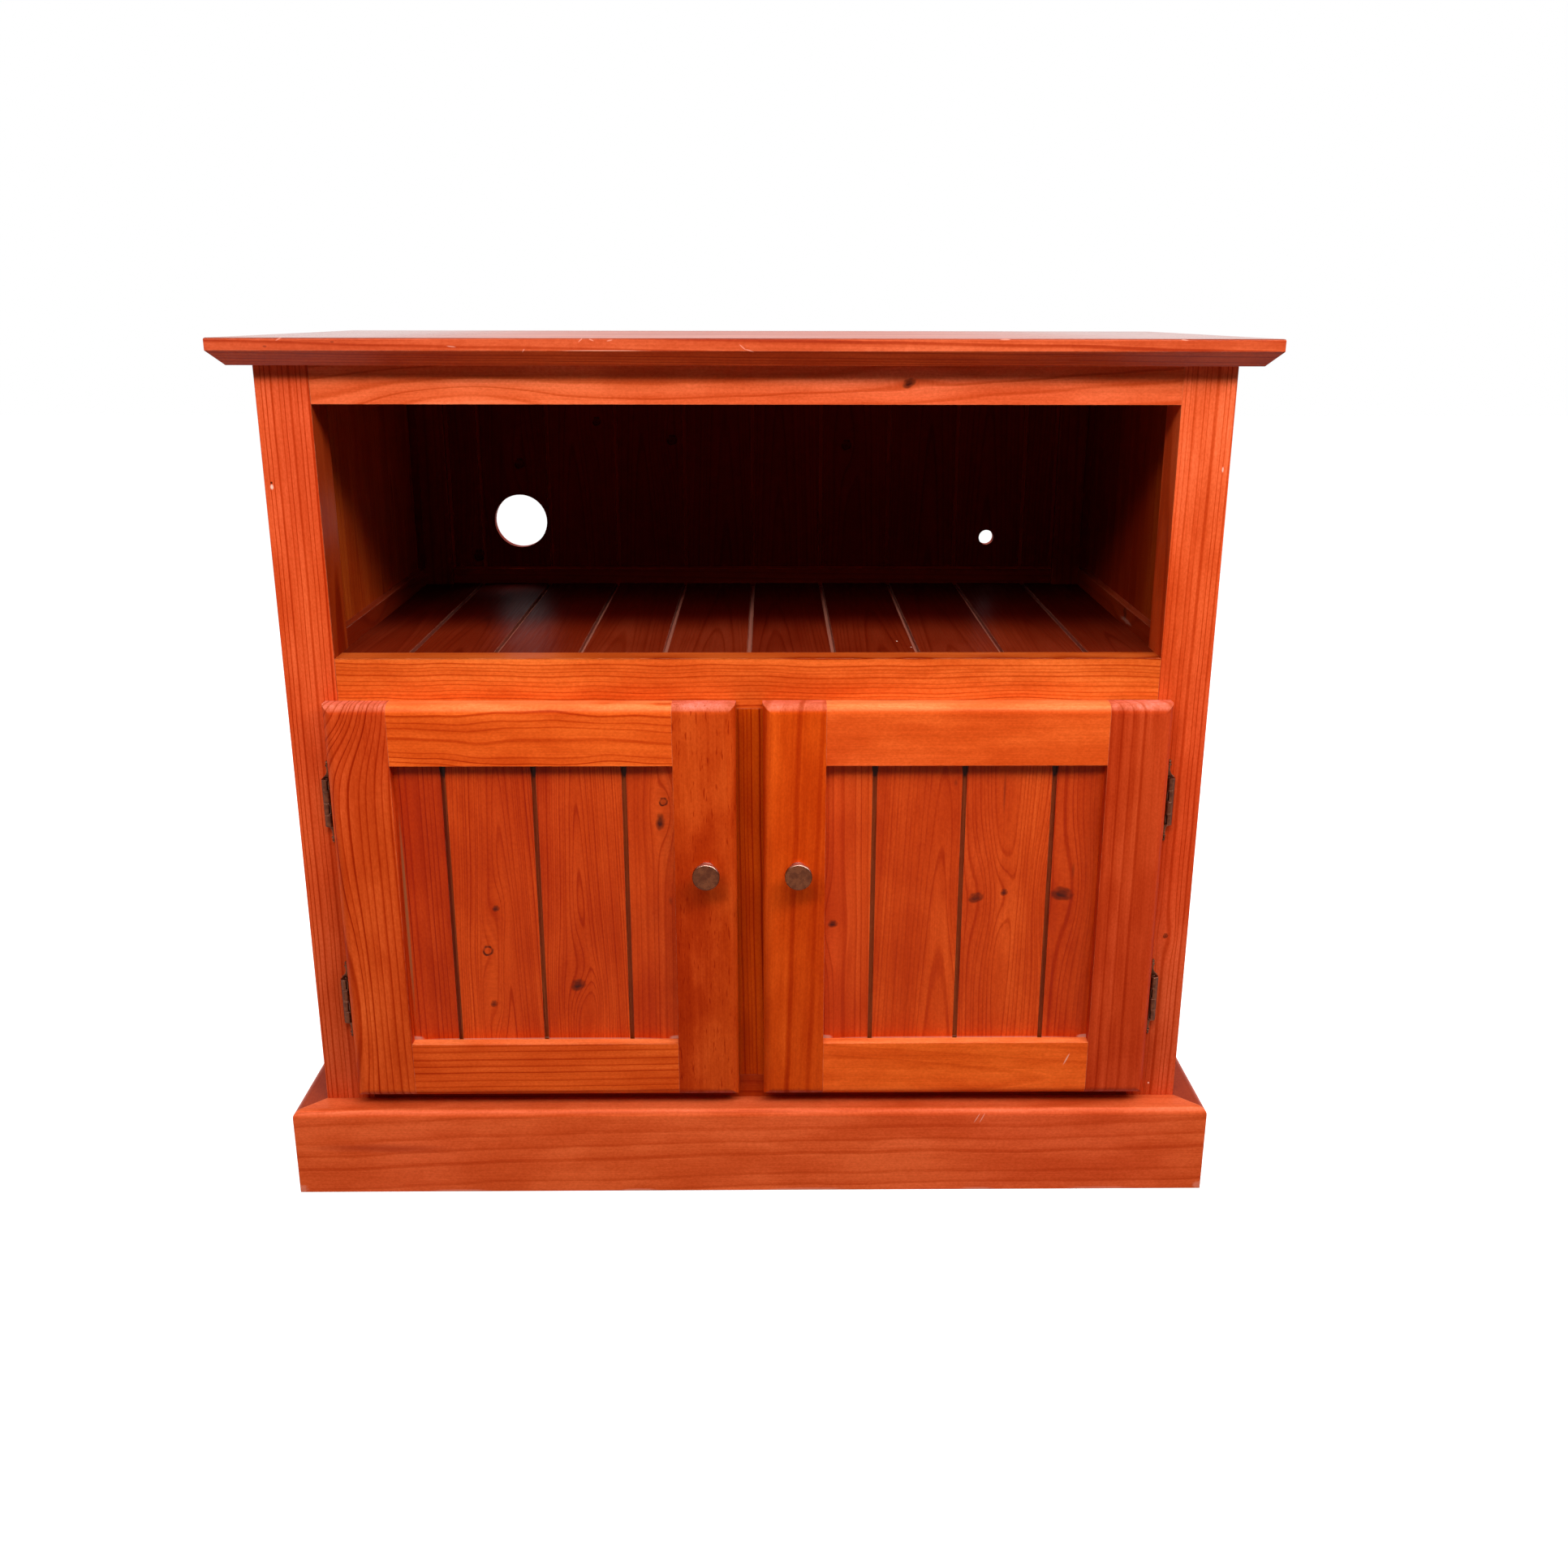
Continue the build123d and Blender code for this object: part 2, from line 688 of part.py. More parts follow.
# Hinges: the frame leaf wraps round the post's inner edge and carries knuckles with
# windows and an ogee tail with a drop finial at each end; the door leaf lies on the
# back of the door. The left pair is the right pair turned end for end.
frame_knuckles = (0, 2)
door_knuckles = (1, 3)


def add_knuckles(side, centre, indices, leaf_y):
    """Add rolled knuckles and the strips that join them to a leaf with these Y limits."""
    for index in indices:
        low, high = knuckle_limits(index)
        knuckle_z = hinge_span(side, low, high, centre)
        block(span(side, leaf_edge, hinge_x), leaf_y, knuckle_z)
        rod((side * hinge_x, hinge_y, knuckle_z[0]), (0, 0, 1), knuckle_radius, high - low)


def add_tail(side, centre, end):
    """Add one ogee tail and its drop finial to a frame leaf; end is 1 or -1 along the barrel."""
    way = side * end
    base_z = centre + way * (barrel_half + tail_gap)
    tail_x = side * (hinge_x - tail_offset)
    plane = Plane(origin=(tail_x, front, base_z), x_dir=(way, 0, 0), z_dir=(0, -1, 0))
    shoulder = (tail_half_width, 0)
    neck = (tail_neck_half_width, tail_rise)
    waist = (tail_waist_half_width, tail_waist_rise)
    with BuildSketch(plane) as outline:
        with BuildLine():
            ThreePointArc(shoulder, waist, neck)
            Polyline(neck, (neck[0], tail_neck_rise), (-neck[0], tail_neck_rise), (-neck[0], neck[1]))
            ThreePointArc((-neck[0], neck[1]), (-waist[0], waist[1]), (-shoulder[0], 0))
            Line((-shoulder[0], 0), shoulder)
        make_face()
    extrude(outline.sketch, amount=tail_thickness)
    finial_y = front - finial_collar_radius - finial_stand_off
    finial_z = base_z + way * tail_neck_rise
    section_plane = Plane(origin=(tail_x, finial_y, finial_z), x_dir=(way, 0, 0), z_dir=(0, -1, 0))
    with BuildSketch(section_plane) as section:
        with BuildLine():
            Polyline((0, finial_height), (0, 0), (finial_collar_radius, 0),
                     (finial_collar_radius, finial_collar_height),
                     (finial_waist_radius, finial_waist_rise),
                     (finial_drop_radius, finial_drop_rise),
                     (finial_waist_radius, finial_tip_rise), close=True)
        make_face()
    revolve(section.sketch, axis=Axis((tail_x, finial_y, finial_z), (0, 0, 1)))


def cut_bore(side, centre):
    """Cut the pin's bore through every knuckle of a leaf."""
    rod((side * hinge_x, hinge_y, centre - barrel_half), (0, 0, 1), pin_radius + pin_clearance,
        2 * barrel_half, Mode.SUBTRACT)


def cut_windows(side, centre, indices):
    """Cut the slot in the front of each frame knuckle, on the side towards the door."""
    turn = radians(window_angle)
    for index in indices:
        low, high = knuckle_limits(index)
        middle = centre + side * (low + high) / 2
        window = Plane(origin=(side * hinge_x, hinge_y, middle),
                       x_dir=(cos(turn), -side * sin(turn), 0),
                       z_dir=(-side * sin(turn), -cos(turn), 0))
        with BuildSketch(window) as slot:
            Rectangle(window_width, high - low - 2 * window_margin)
        extrude(slot.sketch, amount=knuckle_radius + window_margin, mode=Mode.SUBTRACT)


for side_name, side in SIDES:
    with BuildPart() as frame_leaves:
        for centre in hinge_heights:
            leaf_z = (centre - barrel_half - tail_gap, centre + barrel_half + tail_gap)
            plate_z = (leaf_z[0] - hinge_leaf, leaf_z[1] + hinge_leaf)
            block(span(side, post_inner - hinge_leaf, leaf_edge), (front - hinge_leaf, front),
                  plate_z)
            block(span(side, post_inner - hinge_leaf, post_inner), (front - hinge_leaf,
                  front + wrap_depth), leaf_z)
            add_knuckles(side, centre, frame_knuckles, (front - hinge_leaf, front))
            for end in (-1, 1):
                add_tail(side, centre, end)
            cut_bore(side, centre)
            cut_windows(side, centre, frame_knuckles)
            for rise in hinge_screw_rises:
                rod((side * (post_inner - hinge_leaf), wrap_screw_y, centre + rise), (side, 0, 0),
                    hinge_screw_radius + shank_clearance, hinge_leaf, Mode.SUBTRACT)
    write(frame_leaves, f"{side_name}_hinge_frame_leaves")

    with BuildPart() as door_leaves:
        for centre in hinge_heights:
            door_leaf_y = (door_back, door_back + hinge_leaf)
            block(span(side, door_leaf_inner, leaf_edge), door_leaf_y,
                  (centre - barrel_half, centre + barrel_half))
            add_knuckles(side, centre, door_knuckles, door_leaf_y)
            cut_bore(side, centre)
            for rise in hinge_screw_rises:
                rod((side * door_screw_x, door_back, centre + rise), (0, 1, 0),
                    hinge_screw_radius + shank_clearance, hinge_leaf, Mode.SUBTRACT)
    write(door_leaves, f"{side_name}_hinge_door_leaves")

    with BuildPart() as door_screws:
        for centre in hinge_heights:
            for rise in hinge_screw_rises:
                seat = (side * door_screw_x, door_back + hinge_leaf, centre + rise)
                rod(seat, (0, 1, 0), hinge_head_radius, hinge_head_height)
                rod(seat, (0, -1, 0), hinge_screw_radius, hinge_leaf + hinge_screw_bite)
    write(door_screws, f"{side_name}_hinge_door_screws")

with BuildPart() as hinge_pins:
    for _, side in SIDES:
        for centre in hinge_heights:
            rod((side * hinge_x, hinge_y, centre - barrel_half + pin_recess), (0, 0, 1),
                pin_radius, 2 * (barrel_half - pin_recess))
write(hinge_pins, "hinge_pins")

with BuildPart() as frame_screws:
    for _, side in SIDES:
        for centre in hinge_heights:
            for rise in hinge_screw_rises:
                seat = (side * (post_inner - hinge_leaf), wrap_screw_y, centre + rise)
                rod(seat, (-side, 0, 0), hinge_head_radius, hinge_head_height)
                rod(seat, (side, 0, 0), hinge_screw_radius, hinge_leaf + hinge_screw_bite)
write(frame_screws, "hinge_frame_screws")

# Magnetic catches under the mid rail: case with ears, magnet with pole plates, screws
catch_front = front + catch_setback
catch_z = (cupboard_top - catch_height, cupboard_top)
ear_z = (cupboard_top - catch_ear_thickness, cupboard_top)
magnet_z = (catch_z[0] + catch_wall, cupboard_top - catch_wall)
magnet_face = door_back + strike_thickness + strike_clearance
magnet_back = catch_front + magnet_depth
with BuildPart() as catch_cases:
    for _, side in SIDES:
        middle = side * catch_x
        block((middle - catch_width / 2, middle + catch_width / 2),
              (catch_front, catch_front + catch_depth), catch_z)
        ear_reach = catch_width / 2 + catch_ear_width
        block((middle - ear_reach, middle + ear_reach),
              (catch_screw_y - catch_ear_width / 2, catch_screw_y + catch_ear_width / 2), ear_z)
        block((middle - magnet_width / 2, middle + magnet_width / 2), (catch_front, magnet_back),
              magnet_z, Mode.SUBTRACT)
        for reach in (-catch_screw_reach, catch_screw_reach):
            rod((middle + reach, catch_screw_y, ear_z[0]), (0, 0, 1),
                hinge_screw_radius + shank_clearance, catch_ear_thickness, Mode.SUBTRACT)
write(catch_cases, "catch_cases")

with BuildPart() as catch_magnets:
    for _, side in SIDES:
        middle = side * catch_x
        block((middle - magnet_width / 2, middle + magnet_width / 2), (magnet_face, magnet_back),
              magnet_z)
write(catch_magnets, "catch_magnets")

with BuildPart() as catch_screws:
    for _, side in SIDES:
        for reach in (-catch_screw_reach, catch_screw_reach):
            seat = (side * catch_x + reach, catch_screw_y, ear_z[0])
            rod(seat, (0, 0, -1), hinge_head_radius, hinge_head_height)
            rod(seat, (0, 0, 1), hinge_screw_radius, catch_ear_thickness + hinge_screw_bite)
write(catch_screws, "catch_screws")

print("overall", 2 * top_half_width, front_reach + back_reach, carcass_top + top_thickness)
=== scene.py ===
"""Dresses the pine television cabinet: stained boards, bronze fittings, plain studio."""
import logging
import math
from dataclasses import dataclass, replace
from enum import Enum
from typing import Any, Optional

import bpy
from mathutils import Matrix, Vector

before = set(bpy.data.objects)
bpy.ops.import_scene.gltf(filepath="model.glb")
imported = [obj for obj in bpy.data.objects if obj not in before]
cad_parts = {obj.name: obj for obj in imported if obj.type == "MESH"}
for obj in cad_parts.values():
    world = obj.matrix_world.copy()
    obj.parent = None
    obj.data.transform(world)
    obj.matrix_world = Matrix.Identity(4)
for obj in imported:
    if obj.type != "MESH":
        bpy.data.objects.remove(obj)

log = logging.getLogger("television_cabinet")

Colour = tuple[float, float, float]
Place = tuple[float, float, float]
Socket = bpy.types.NodeSocket
Material = bpy.types.Material

NOWHERE: Place = (0.0, 0.0, 0.0)
RIGHT: Place = (1.0, 0.0, 0.0)
LEFT: Place = (-1.0, 0.0, 0.0)
BACK: Place = (0.0, 1.0, 0.0)
FORWARDS: Place = (0.0, -1.0, 0.0)
UP: Place = (0.0, 0.0, 1.0)
DOWN: Place = (0.0, 0.0, -1.0)
FULL_SIZE: Place = (1.0, 1.0, 1.0)
WHITE: Colour = (1.0, 1.0, 1.0)
QUARTER_TURN = math.pi / 2


class Grain(Enum):
    """The object axis that a board's fibres run along."""

    X = RIGHT
    Y = BACK
    Z = UP

    @property
    def turn(self) -> Place:
        """Rotation in radians that carries the texture's Z axis onto the grain."""
        turns = {Grain.X: (0.0, QUARTER_TURN, 0.0), Grain.Y: (-QUARTER_TURN, 0.0, 0.0),
                 Grain.Z: NOWHERE}
        return turns[self]


class Face(Enum):
    """The plane in which a board shows its knots."""

    FRONT = (1.0, 0.0, 1.0)
    SIDE = (0.0, 1.0, 1.0)


class Graph:
    """Adds and links shader nodes in one node tree."""

    # Places of the colour sockets on a Mix node: factor, first and second in, result out.
    MIX_INPUTS = (0, 6, 7)
    MIX_RESULT = 2

    def __init__(self, tree: bpy.types.NodeTree) -> None:
        """Takes the tree that the nodes go into."""
        self.tree = tree

    @classmethod
    def of(cls, owner: Any) -> "Graph":
        """Clears a material's or a world's nodes and gives a graph for new ones."""
        owner.use_nodes = True
        owner.node_tree.nodes.clear()
        return cls(owner.node_tree)

    def feed(self, socket: Socket, value: Any) -> None:
        """Links a socket to another one, or sets its constant.

        Args:
            socket: The input that takes the value.
            value: An output socket, a number, or a tuple.
        """
        if isinstance(value, Socket):
            self.tree.links.new(value, socket)
        elif isinstance(value, (tuple, list)) and socket.type == "RGBA":
            socket.default_value = (*value[:3], 1.0)
        else:
            socket.default_value = value

    def node(self, kind: str, inputs: Optional[dict] = None, **settings: Any) -> bpy.types.Node:
        """Adds a node.

        Args:
            kind: The node's type name without its ShaderNode prefix.
            inputs: Values by input name or number.
            settings: Properties of the node itself.

        Returns:
            The new node.
        """
        made = self.tree.nodes.new("ShaderNode" + kind)
        for name, value in settings.items():
            setattr(made, name, value)
        for name, value in (inputs or {}).items():
            self.feed(made.inputs[name], value)
        return made

    def math(self, operation: str, *values: Any) -> Socket:
        """Adds a Math node and gives its result."""
        return self.node("Math", dict(enumerate(values)), operation=operation).outputs[0]

    def times(self, first: Any, second: Any) -> Socket:
        """Multiplies two numbers."""
        return self.math("MULTIPLY", first, second)

    def plus(self, first: Any, second: Any) -> Socket:
        """Adds two numbers."""
        return self.math("ADD", first, second)

    def minus(self, first: Any, second: Any) -> Socket:
        """Takes the second number from the first."""
        return self.math("SUBTRACT", first, second)

    def swing(self, value: Any, reach: Any) -> Socket:
        """Spreads 0..1 over a reach that has nought at its middle."""
        return self.times(self.minus(value, 0.5), reach)

    def steps(self, over: Any, start: Any, pitch: Any) -> Socket:
        """Counts the pitches, whole and part, from a start."""
        return self.math("DIVIDE", self.minus(over, start), pitch)

    def vector(self, operation: str, *values: Any) -> Socket:
        """Adds a Vector Math node and gives its result.

        Args:
            operation: The operation's name. SCALE takes its factor as the second value.
            values: The operands.

        Returns:
            The vector, or the number where the operation gives one.
        """
        made = self.node("VectorMath", operation=operation)
        self.feed(made.inputs[0], values[0])
        if operation == "SCALE":
            self.feed(made.inputs["Scale"], values[1])
        elif len(values) > 1:
            self.feed(made.inputs[1], values[1])
        scalar = operation in ("DOT_PRODUCT", "LENGTH")
        return made.outputs["Value" if scalar else "Vector"]

    def dot(self, first: Any, second: Any) -> Socket:
        """Gives the dot product of two vectors."""
        return self.vector("DOT_PRODUCT", first, second)

    def local(self, here: Any, origin: Place, turn: Place, scale: Place = FULL_SIZE) -> Socket:
        """Gives coordinates in a frame of their own.

        Args:
            here: The coordinates.
            origin: The frame's origin.
            turn: Its rotation in radians.
            scale: The length of its units.

        Returns:
            The coordinates in that frame.
        """
        return self.node("Mapping", {"Vector": here, "Location": origin, "Rotation": turn,
                                     "Scale": scale}, vector_type="TEXTURE").outputs[0]

    def mix(self, factor: Any, first: Any, second: Any, blend: str = "MIX") -> Socket:
        """Adds a colour Mix node and gives its result."""
        inputs = dict(zip(self.MIX_INPUTS, (factor, first, second)))
        return self.node("Mix", inputs, data_type="RGBA", blend_type=blend).outputs[
            self.MIX_RESULT]

    def gain(self, colour: Any, gain: Any) -> Socket:
        """Multiplies a colour by a gain for each channel."""
        return self.mix(1.0, colour, gain, "MULTIPLY")

    def cover(self, colour: Any, mask: Any, strength: float, tint: Any) -> Socket:
        """Lays a tint over a colour where a mask is high."""
        return self.mix(self.times(mask, strength), colour, tint)

    def ramp(self, value: Any, low: Any, high: Any, start: Any = 0.0, end: Any = 1.0) -> Socket:
        """Maps low..high to start..end smoothly and gives the result."""
        inputs = dict(enumerate((value, low, high, start, end)))
        return self.node("MapRange", inputs, interpolation_type="SMOOTHSTEP").outputs[0]

    def noise(self, place: Any, scale: float, detail: float = 2.0,
              roughness: float = 0.5) -> Socket:
        """Adds a Noise Texture and gives its factor."""
        return self.node("TexNoise", {"Vector": place, "Scale": scale, "Detail": detail,
                                      "Roughness": roughness}).outputs[0]

    def drawn(self, number: Any) -> bpy.types.Node:
        """Adds a White Noise Texture, which draws a value and a colour by a whole number."""
        return self.node("TexWhiteNoise", {"W": number}, noise_dimensions="1D")

    def choose(self, place: Any, values: tuple[float, ...]) -> Socket:
        """Gives one of several numbers.

        Args:
            place: From 0 to 1 along their row.
            values: The numbers.

        Returns:
            The number at the place.
        """
        peak = max(abs(value) for value in values) or 1.0
        steps = self.node("ValToRGB", {"Fac": place})
        steps.color_ramp.interpolation = "CONSTANT"
        marks = steps.color_ramp.elements
        while len(marks) < len(values):
            marks.new(0.5)
        for number, value in enumerate(values):
            marks[number].position = number / len(values)
            level = 0.5 + 0.5 * value / peak
            marks[number].color = (level, level, level, 1.0)
        shade = self.node("SeparateColor", {"Color": steps.outputs[0]}).outputs[0]
        return self.swing(shade, 2.0 * peak)

    def group(self, tree: bpy.types.NodeTree, **inputs: Any) -> bpy.types.Node:
        """Places a node group.

        Args:
            tree: The group.
            inputs: Values by input name, with underscores for spaces.

        Returns:
            The group node.
        """
        made = self.node("Group")
        made.node_tree = tree
        for name, value in inputs.items():
            self.feed(made.inputs[name.replace("_", " ")], value)
        return made

    def bump(self, strength: float, reach: float, height: Any, normal: Any = None) -> Socket:
        """Adds a Bump node.

        Args:
            strength: How much of the relief shows.
            reach: The relief's height in metres.
            height: The pattern.
            normal: The normal that it changes, or none for the surface's own.

        Returns:
            The new normal.
        """
        inputs = {"Strength": strength, "Distance": reach, "Height": height}
        if normal is not None:
            inputs["Normal"] = normal
        return self.node("Bump", inputs).outputs[0]

    def output(self, shader: bpy.types.Node, kind: str = "OutputMaterial") -> None:
        """Adds the output node and links a shader to its surface."""
        self.feed(self.node(kind).inputs["Surface"], shader.outputs[0])

    def surface(self, colour: Any, roughness: Any, normal: Any, **others: Any) -> None:
        """Adds the Principled shader and the output.

        Args:
            colour: The base colour.
            roughness: The roughness.
            normal: The bumped normal.
            others: More values by input name, with underscores for spaces.
        """
        inputs = {name.replace("_", " "): value for name, value in others.items()}
        self.output(self.node("BsdfPrincipled", {"Base Color": colour, "Roughness": roughness,
                                                 "Normal": normal, **inputs}))


class Effects:
    """The shared node groups: rings, boards, knots, fibres, stains, marks and arrises."""

    # How far a seed of 1 moves a noise.
    SEED_STEP: Place = (3.13, 1.71, 2.37)
    # Parts of a ring's width: the dark line sets in, is full, and ends at the peak.
    LINE_START, LINE_FULL, RING_PEAK = 0.66, 0.82, 0.88
    # Darkness of the broad band before the line, and the least weight of a ring.
    BAND_SHADE, LEAST_WEIGHT = 0.38, 0.5
    # The rings' wandering per unit of noise, and how unevenly wide they are.
    RING_SWING, UNEVEN_RATE, UNEVEN_REACH = 5.0, 0.41, 1.5
    # How far along the log, in metres, the boards of a row may lie apart.
    LOG_SHIFT = 1.6
    # Powers by which green and blue follow the stain's depth.
    GREEN_POWER, BLUE_POWER = 2.2, 3.6
    # The arrises' pale tint is partly thinned finish and partly a painted highlight.
    # How far, in cosine, an arris's normal has turned where its pale tint starts and is full.
    WEAR_START, WEAR_FULL, BEVEL_SAMPLES = 0.01, 0.22, 4

    def __init__(self) -> None:
        """Builds every group once."""
        self.rings = self._rings()
        self.boards = self._boards()
        self.knot = self._knot()
        self.fibres = self._fibres()
        self.stain = self._stain()
        self.soak = self._soak()
        self.arris = self._arris()
        self.mark = self._mark()

    @staticmethod
    def _start(name: str, inputs: dict, outputs: dict) -> tuple[Graph, Any, Any]:
        """Makes an empty group.

        Args:
            name: The group's name.
            inputs: Default values by socket name; a tuple makes a vector.
            outputs: Socket kinds by name, Float, Vector or Color.

        Returns:
            The graph, the group's inputs and the group's outputs.
        """
        tree = bpy.data.node_groups.new(name, "ShaderNodeTree")
        for label, default in inputs.items():
            kind = "NodeSocketVector" if isinstance(default, tuple) else "NodeSocketFloat"
            socket = tree.interface.new_socket(label, in_out="INPUT", socket_type=kind)
            socket.default_value = default
        for label, kind in outputs.items():
            tree.interface.new_socket(label, in_out="OUTPUT", socket_type="NodeSocket" + kind)
        graph = Graph(tree)
        entry = tree.nodes.new("NodeGroupInput")
        leave = tree.nodes.new("NodeGroupOutput")
        return graph, entry.outputs, leave.inputs

    def _noise(self, g: Graph, i: Any, stretch: Place, detail: float = 3.0,
               roughness: float = 0.5) -> Socket:
        """Adds a noise on a group's stretched coordinates, moved by its seed.

        Args:
            g: The group's graph.
            i: The group's inputs.
            stretch: Spots per metre along each axis.
            detail: The noise's detail.
            roughness: The noise's roughness.

        Returns:
            The noise, from 0 to 1.
        """
        moved = g.vector("SCALE", self.SEED_STEP, i["Seed"])
        place = g.vector("ADD", g.vector("MULTIPLY", i["Vector"], stretch), moved)
        return g.noise(place, 1.0, detail, roughness)

    def _rings(self) -> bpy.types.NodeTree:
        """Growth rings round a pith that runs along Z: dark late wood and a tone per ring."""
        g, i, o = self._start(
            "Growth rings",
            {"Vector": NOWHERE, "Spacing": 0.006, "Band": 0.4, "Wander": 0.002,
             "Ripple": 0.0004, "Taper": 0.02, "Lift": 0.0, "Seed": 0.0},
            {"Late wood": "Float", "Ring tone": "Float"})
        slow = self._noise(g, i, (5.0, 5.0, 1.7), 1.0)
        quick = self._noise(g, i, (15.0, 15.0, 12.0), 1.0)
        flat = g.vector("MULTIPLY", i["Vector"], (1.0, 1.0, 0.0))
        along = g.dot(i["Vector"], UP)
        radius = g.plus(g.vector("LENGTH", flat), g.times(along, i["Taper"]))
        for noise, reach in ((slow, "Wander"), (quick, "Ripple")):
            radius = g.math("MULTIPLY_ADD", g.swing(noise, self.RING_SWING), i[reach], radius)
        radius = g.plus(radius, i["Lift"])
        count = g.math("DIVIDE", radius, i["Spacing"])
        uneven = g.node("TexNoise", {"W": g.plus(count, i["Seed"]), "Scale": self.UNEVEN_RATE,
                                     "Detail": 0.0}, noise_dimensions="1D").outputs[0]
        count = g.plus(count, g.times(uneven, self.UNEVEN_REACH))
        part = g.math("FRACT", count)
        shade = g.ramp(part, g.minus(self.RING_PEAK, i["Band"]), self.RING_PEAK, 0.0,
                       self.BAND_SHADE)
        line = g.ramp(part, self.LINE_START, self.LINE_FULL)
        drop = g.ramp(part, self.RING_PEAK, 1.0, 1.0, 0.0)
        chance = g.drawn(g.plus(g.math("FLOOR", count), i["Seed"])).outputs["Value"]
        weight = g.ramp(chance, 0.0, 1.0, self.LEAST_WEIGHT, 1.0)
        late = g.times(g.math("MAXIMUM", shade, line), drop)
        g.feed(o["Late wood"], g.times(late, weight))
        g.feed(o["Ring tone"], chance)
        return g.tree

    def _boards(self) -> bpy.types.NodeTree:
        """Gives each board of a row its own centre line, its own shift along the grain and tone."""
        g, i, o = self._start(
            "Board row",
            {"Vector": NOWHERE, "Across": RIGHT, "Along": UP, "Start": 0.0, "Pitch": 0.083,
             "Stray": 0.3, "Seed": 0.0},
            {"Vector": "Vector", "Tone": "Float"})
        over = g.dot(i["Vector"], i["Across"])
        number = g.math("FLOOR", g.steps(over, i["Start"], i["Pitch"]))
        pick = g.drawn(g.plus(number, i["Seed"]))
        stray = g.swing(pick.outputs["Value"], i["Stray"])
        middle = g.plus(g.plus(number, 0.5), stray)
        centre = g.plus(g.times(middle, i["Pitch"]), i["Start"])
        local = g.vector("SUBTRACT", i["Vector"], g.vector("SCALE", i["Across"], centre))
        tone = g.node("SeparateColor", {"Color": pick.outputs["Color"]}).outputs[1]
        shift = g.swing(tone, self.LOG_SHIFT)
        g.feed(o["Vector"], g.vector("ADD", local, g.vector("SCALE", i["Along"], shift)))
        g.feed(o["Tone"], tone)
        return g.tree

    def _knot(self) -> bpy.types.NodeTree:
        """One knot: turns the grain aside round it, lifts the rings and masks its heart."""
        g, i, o = self._start(
            "Knot",
            {"Vector": NOWHERE, "Flow": NOWHERE, "Oval": NOWHERE, "Place": NOWHERE,
             "Plane": Face.FRONT.value, "Along": UP, "Span": 0.015, "Slim": 0.36, "Turn": 0.8,
             "Rise": 0.0},
            {"Flow": "Vector", "Lift": "Float", "Heart": "Float", "Rim": "Float"})
        from_it = g.vector("MULTIPLY", g.vector("SUBTRACT", i["Vector"], i["Place"]), i["Plane"])
        along = g.dot(from_it, i["Along"])
        across = g.vector("SUBTRACT", from_it, g.vector("SCALE", i["Along"], along))
        slim = g.vector("ADD", across, g.vector("SCALE", i["Along"], g.times(along, i["Slim"])))
        near = g.math("DIVIDE", g.vector("LENGTH", slim), i["Span"])
        pull = g.math("EXPONENT", g.times(g.times(near, near), -1.0))
        g.feed(o["Flow"], g.vector("SUBTRACT", i["Flow"],
                                   g.vector("SCALE", across, g.times(pull, i["Turn"]))))
        g.feed(o["Lift"], g.times(pull, i["Rise"]))
        rough = g.noise(i["Oval"], 0.8, 1.0)
        far = g.math("DIVIDE", g.vector("LENGTH", i["Oval"]),
                     g.math("MULTIPLY_ADD", rough, 0.7, 0.62))
        core = g.ramp(far, 0.35, 1.15, 1.0, 0.0)
        g.feed(o["Heart"], g.times(core, g.ramp(rough, 0.3, 0.7, 0.75, 1.0)))
        edge = g.times(g.ramp(far, 0.55, 0.82), g.ramp(far, 0.90, 1.25, 1.0, 0.0))
        g.feed(o["Rim"], g.times(edge, g.ramp(rough, 0.35, 0.60, 0.45, 1.0)))
        return g.tree

    def _fibres(self) -> bpy.types.NodeTree:
        """Fine fibres, broader streaks and short resin flecks along Z."""
        g, i, o = self._start("Fibres", {"Vector": NOWHERE, "Seed": 0.0},
                              {"Fibre": "Float", "Streak": "Float", "Fleck": "Float"})
        fine = self._noise(g, i, (820.0, 820.0, 14.0), 3.0, 0.6)
        broad = self._noise(g, i, (150.0, 150.0, 3.4))
        short = self._noise(g, i, (520.0, 520.0, 72.0), 1.0)
        g.feed(o["Fibre"], fine)
        g.feed(o["Streak"], broad)
        g.feed(o["Fleck"], g.ramp(short, 0.62, 0.76))
        return g.tree

    def _stain(self) -> bpy.types.NodeTree:
        """Cloudy take-up of the stain, a little longer along the grain than across it."""
        g, i, o = self._start("Stain take-up", {"Vector": NOWHERE, "Seed": 0.0},
                              {"Cloud": "Float", "Drift": "Float", "Mottle": "Float"})
        cloud = self._noise(g, i, (26.0, 26.0, 9.0), 3.0, 0.55)
        drift = self._noise(g, i, (7.0, 7.0, 2.2), 2.0)
        g.feed(o["Mottle"], self._noise(g, i, (520.0, 520.0, 300.0), 3.0, 0.65))
        g.feed(o["Cloud"], g.ramp(cloud, 0.25, 0.75))
        g.feed(o["Drift"], g.ramp(drift, 0.3, 0.7))
        return g.tree

    def _soak(self) -> bpy.types.NodeTree:
        """Gain of a stain by its depth: green and blue go down faster than red."""
        g, i, o = self._start("Soaked stain", {"Depth": 1.0}, {"Gain": "Color"})
        green = g.math("POWER", i["Depth"], self.GREEN_POWER)
        blue = g.math("POWER", i["Depth"], self.BLUE_POWER)
        gain = g.node("CombineColor", {"Red": i["Depth"], "Green": green, "Blue": blue})
        g.feed(o["Gain"], gain.outputs[0])
        return g.tree

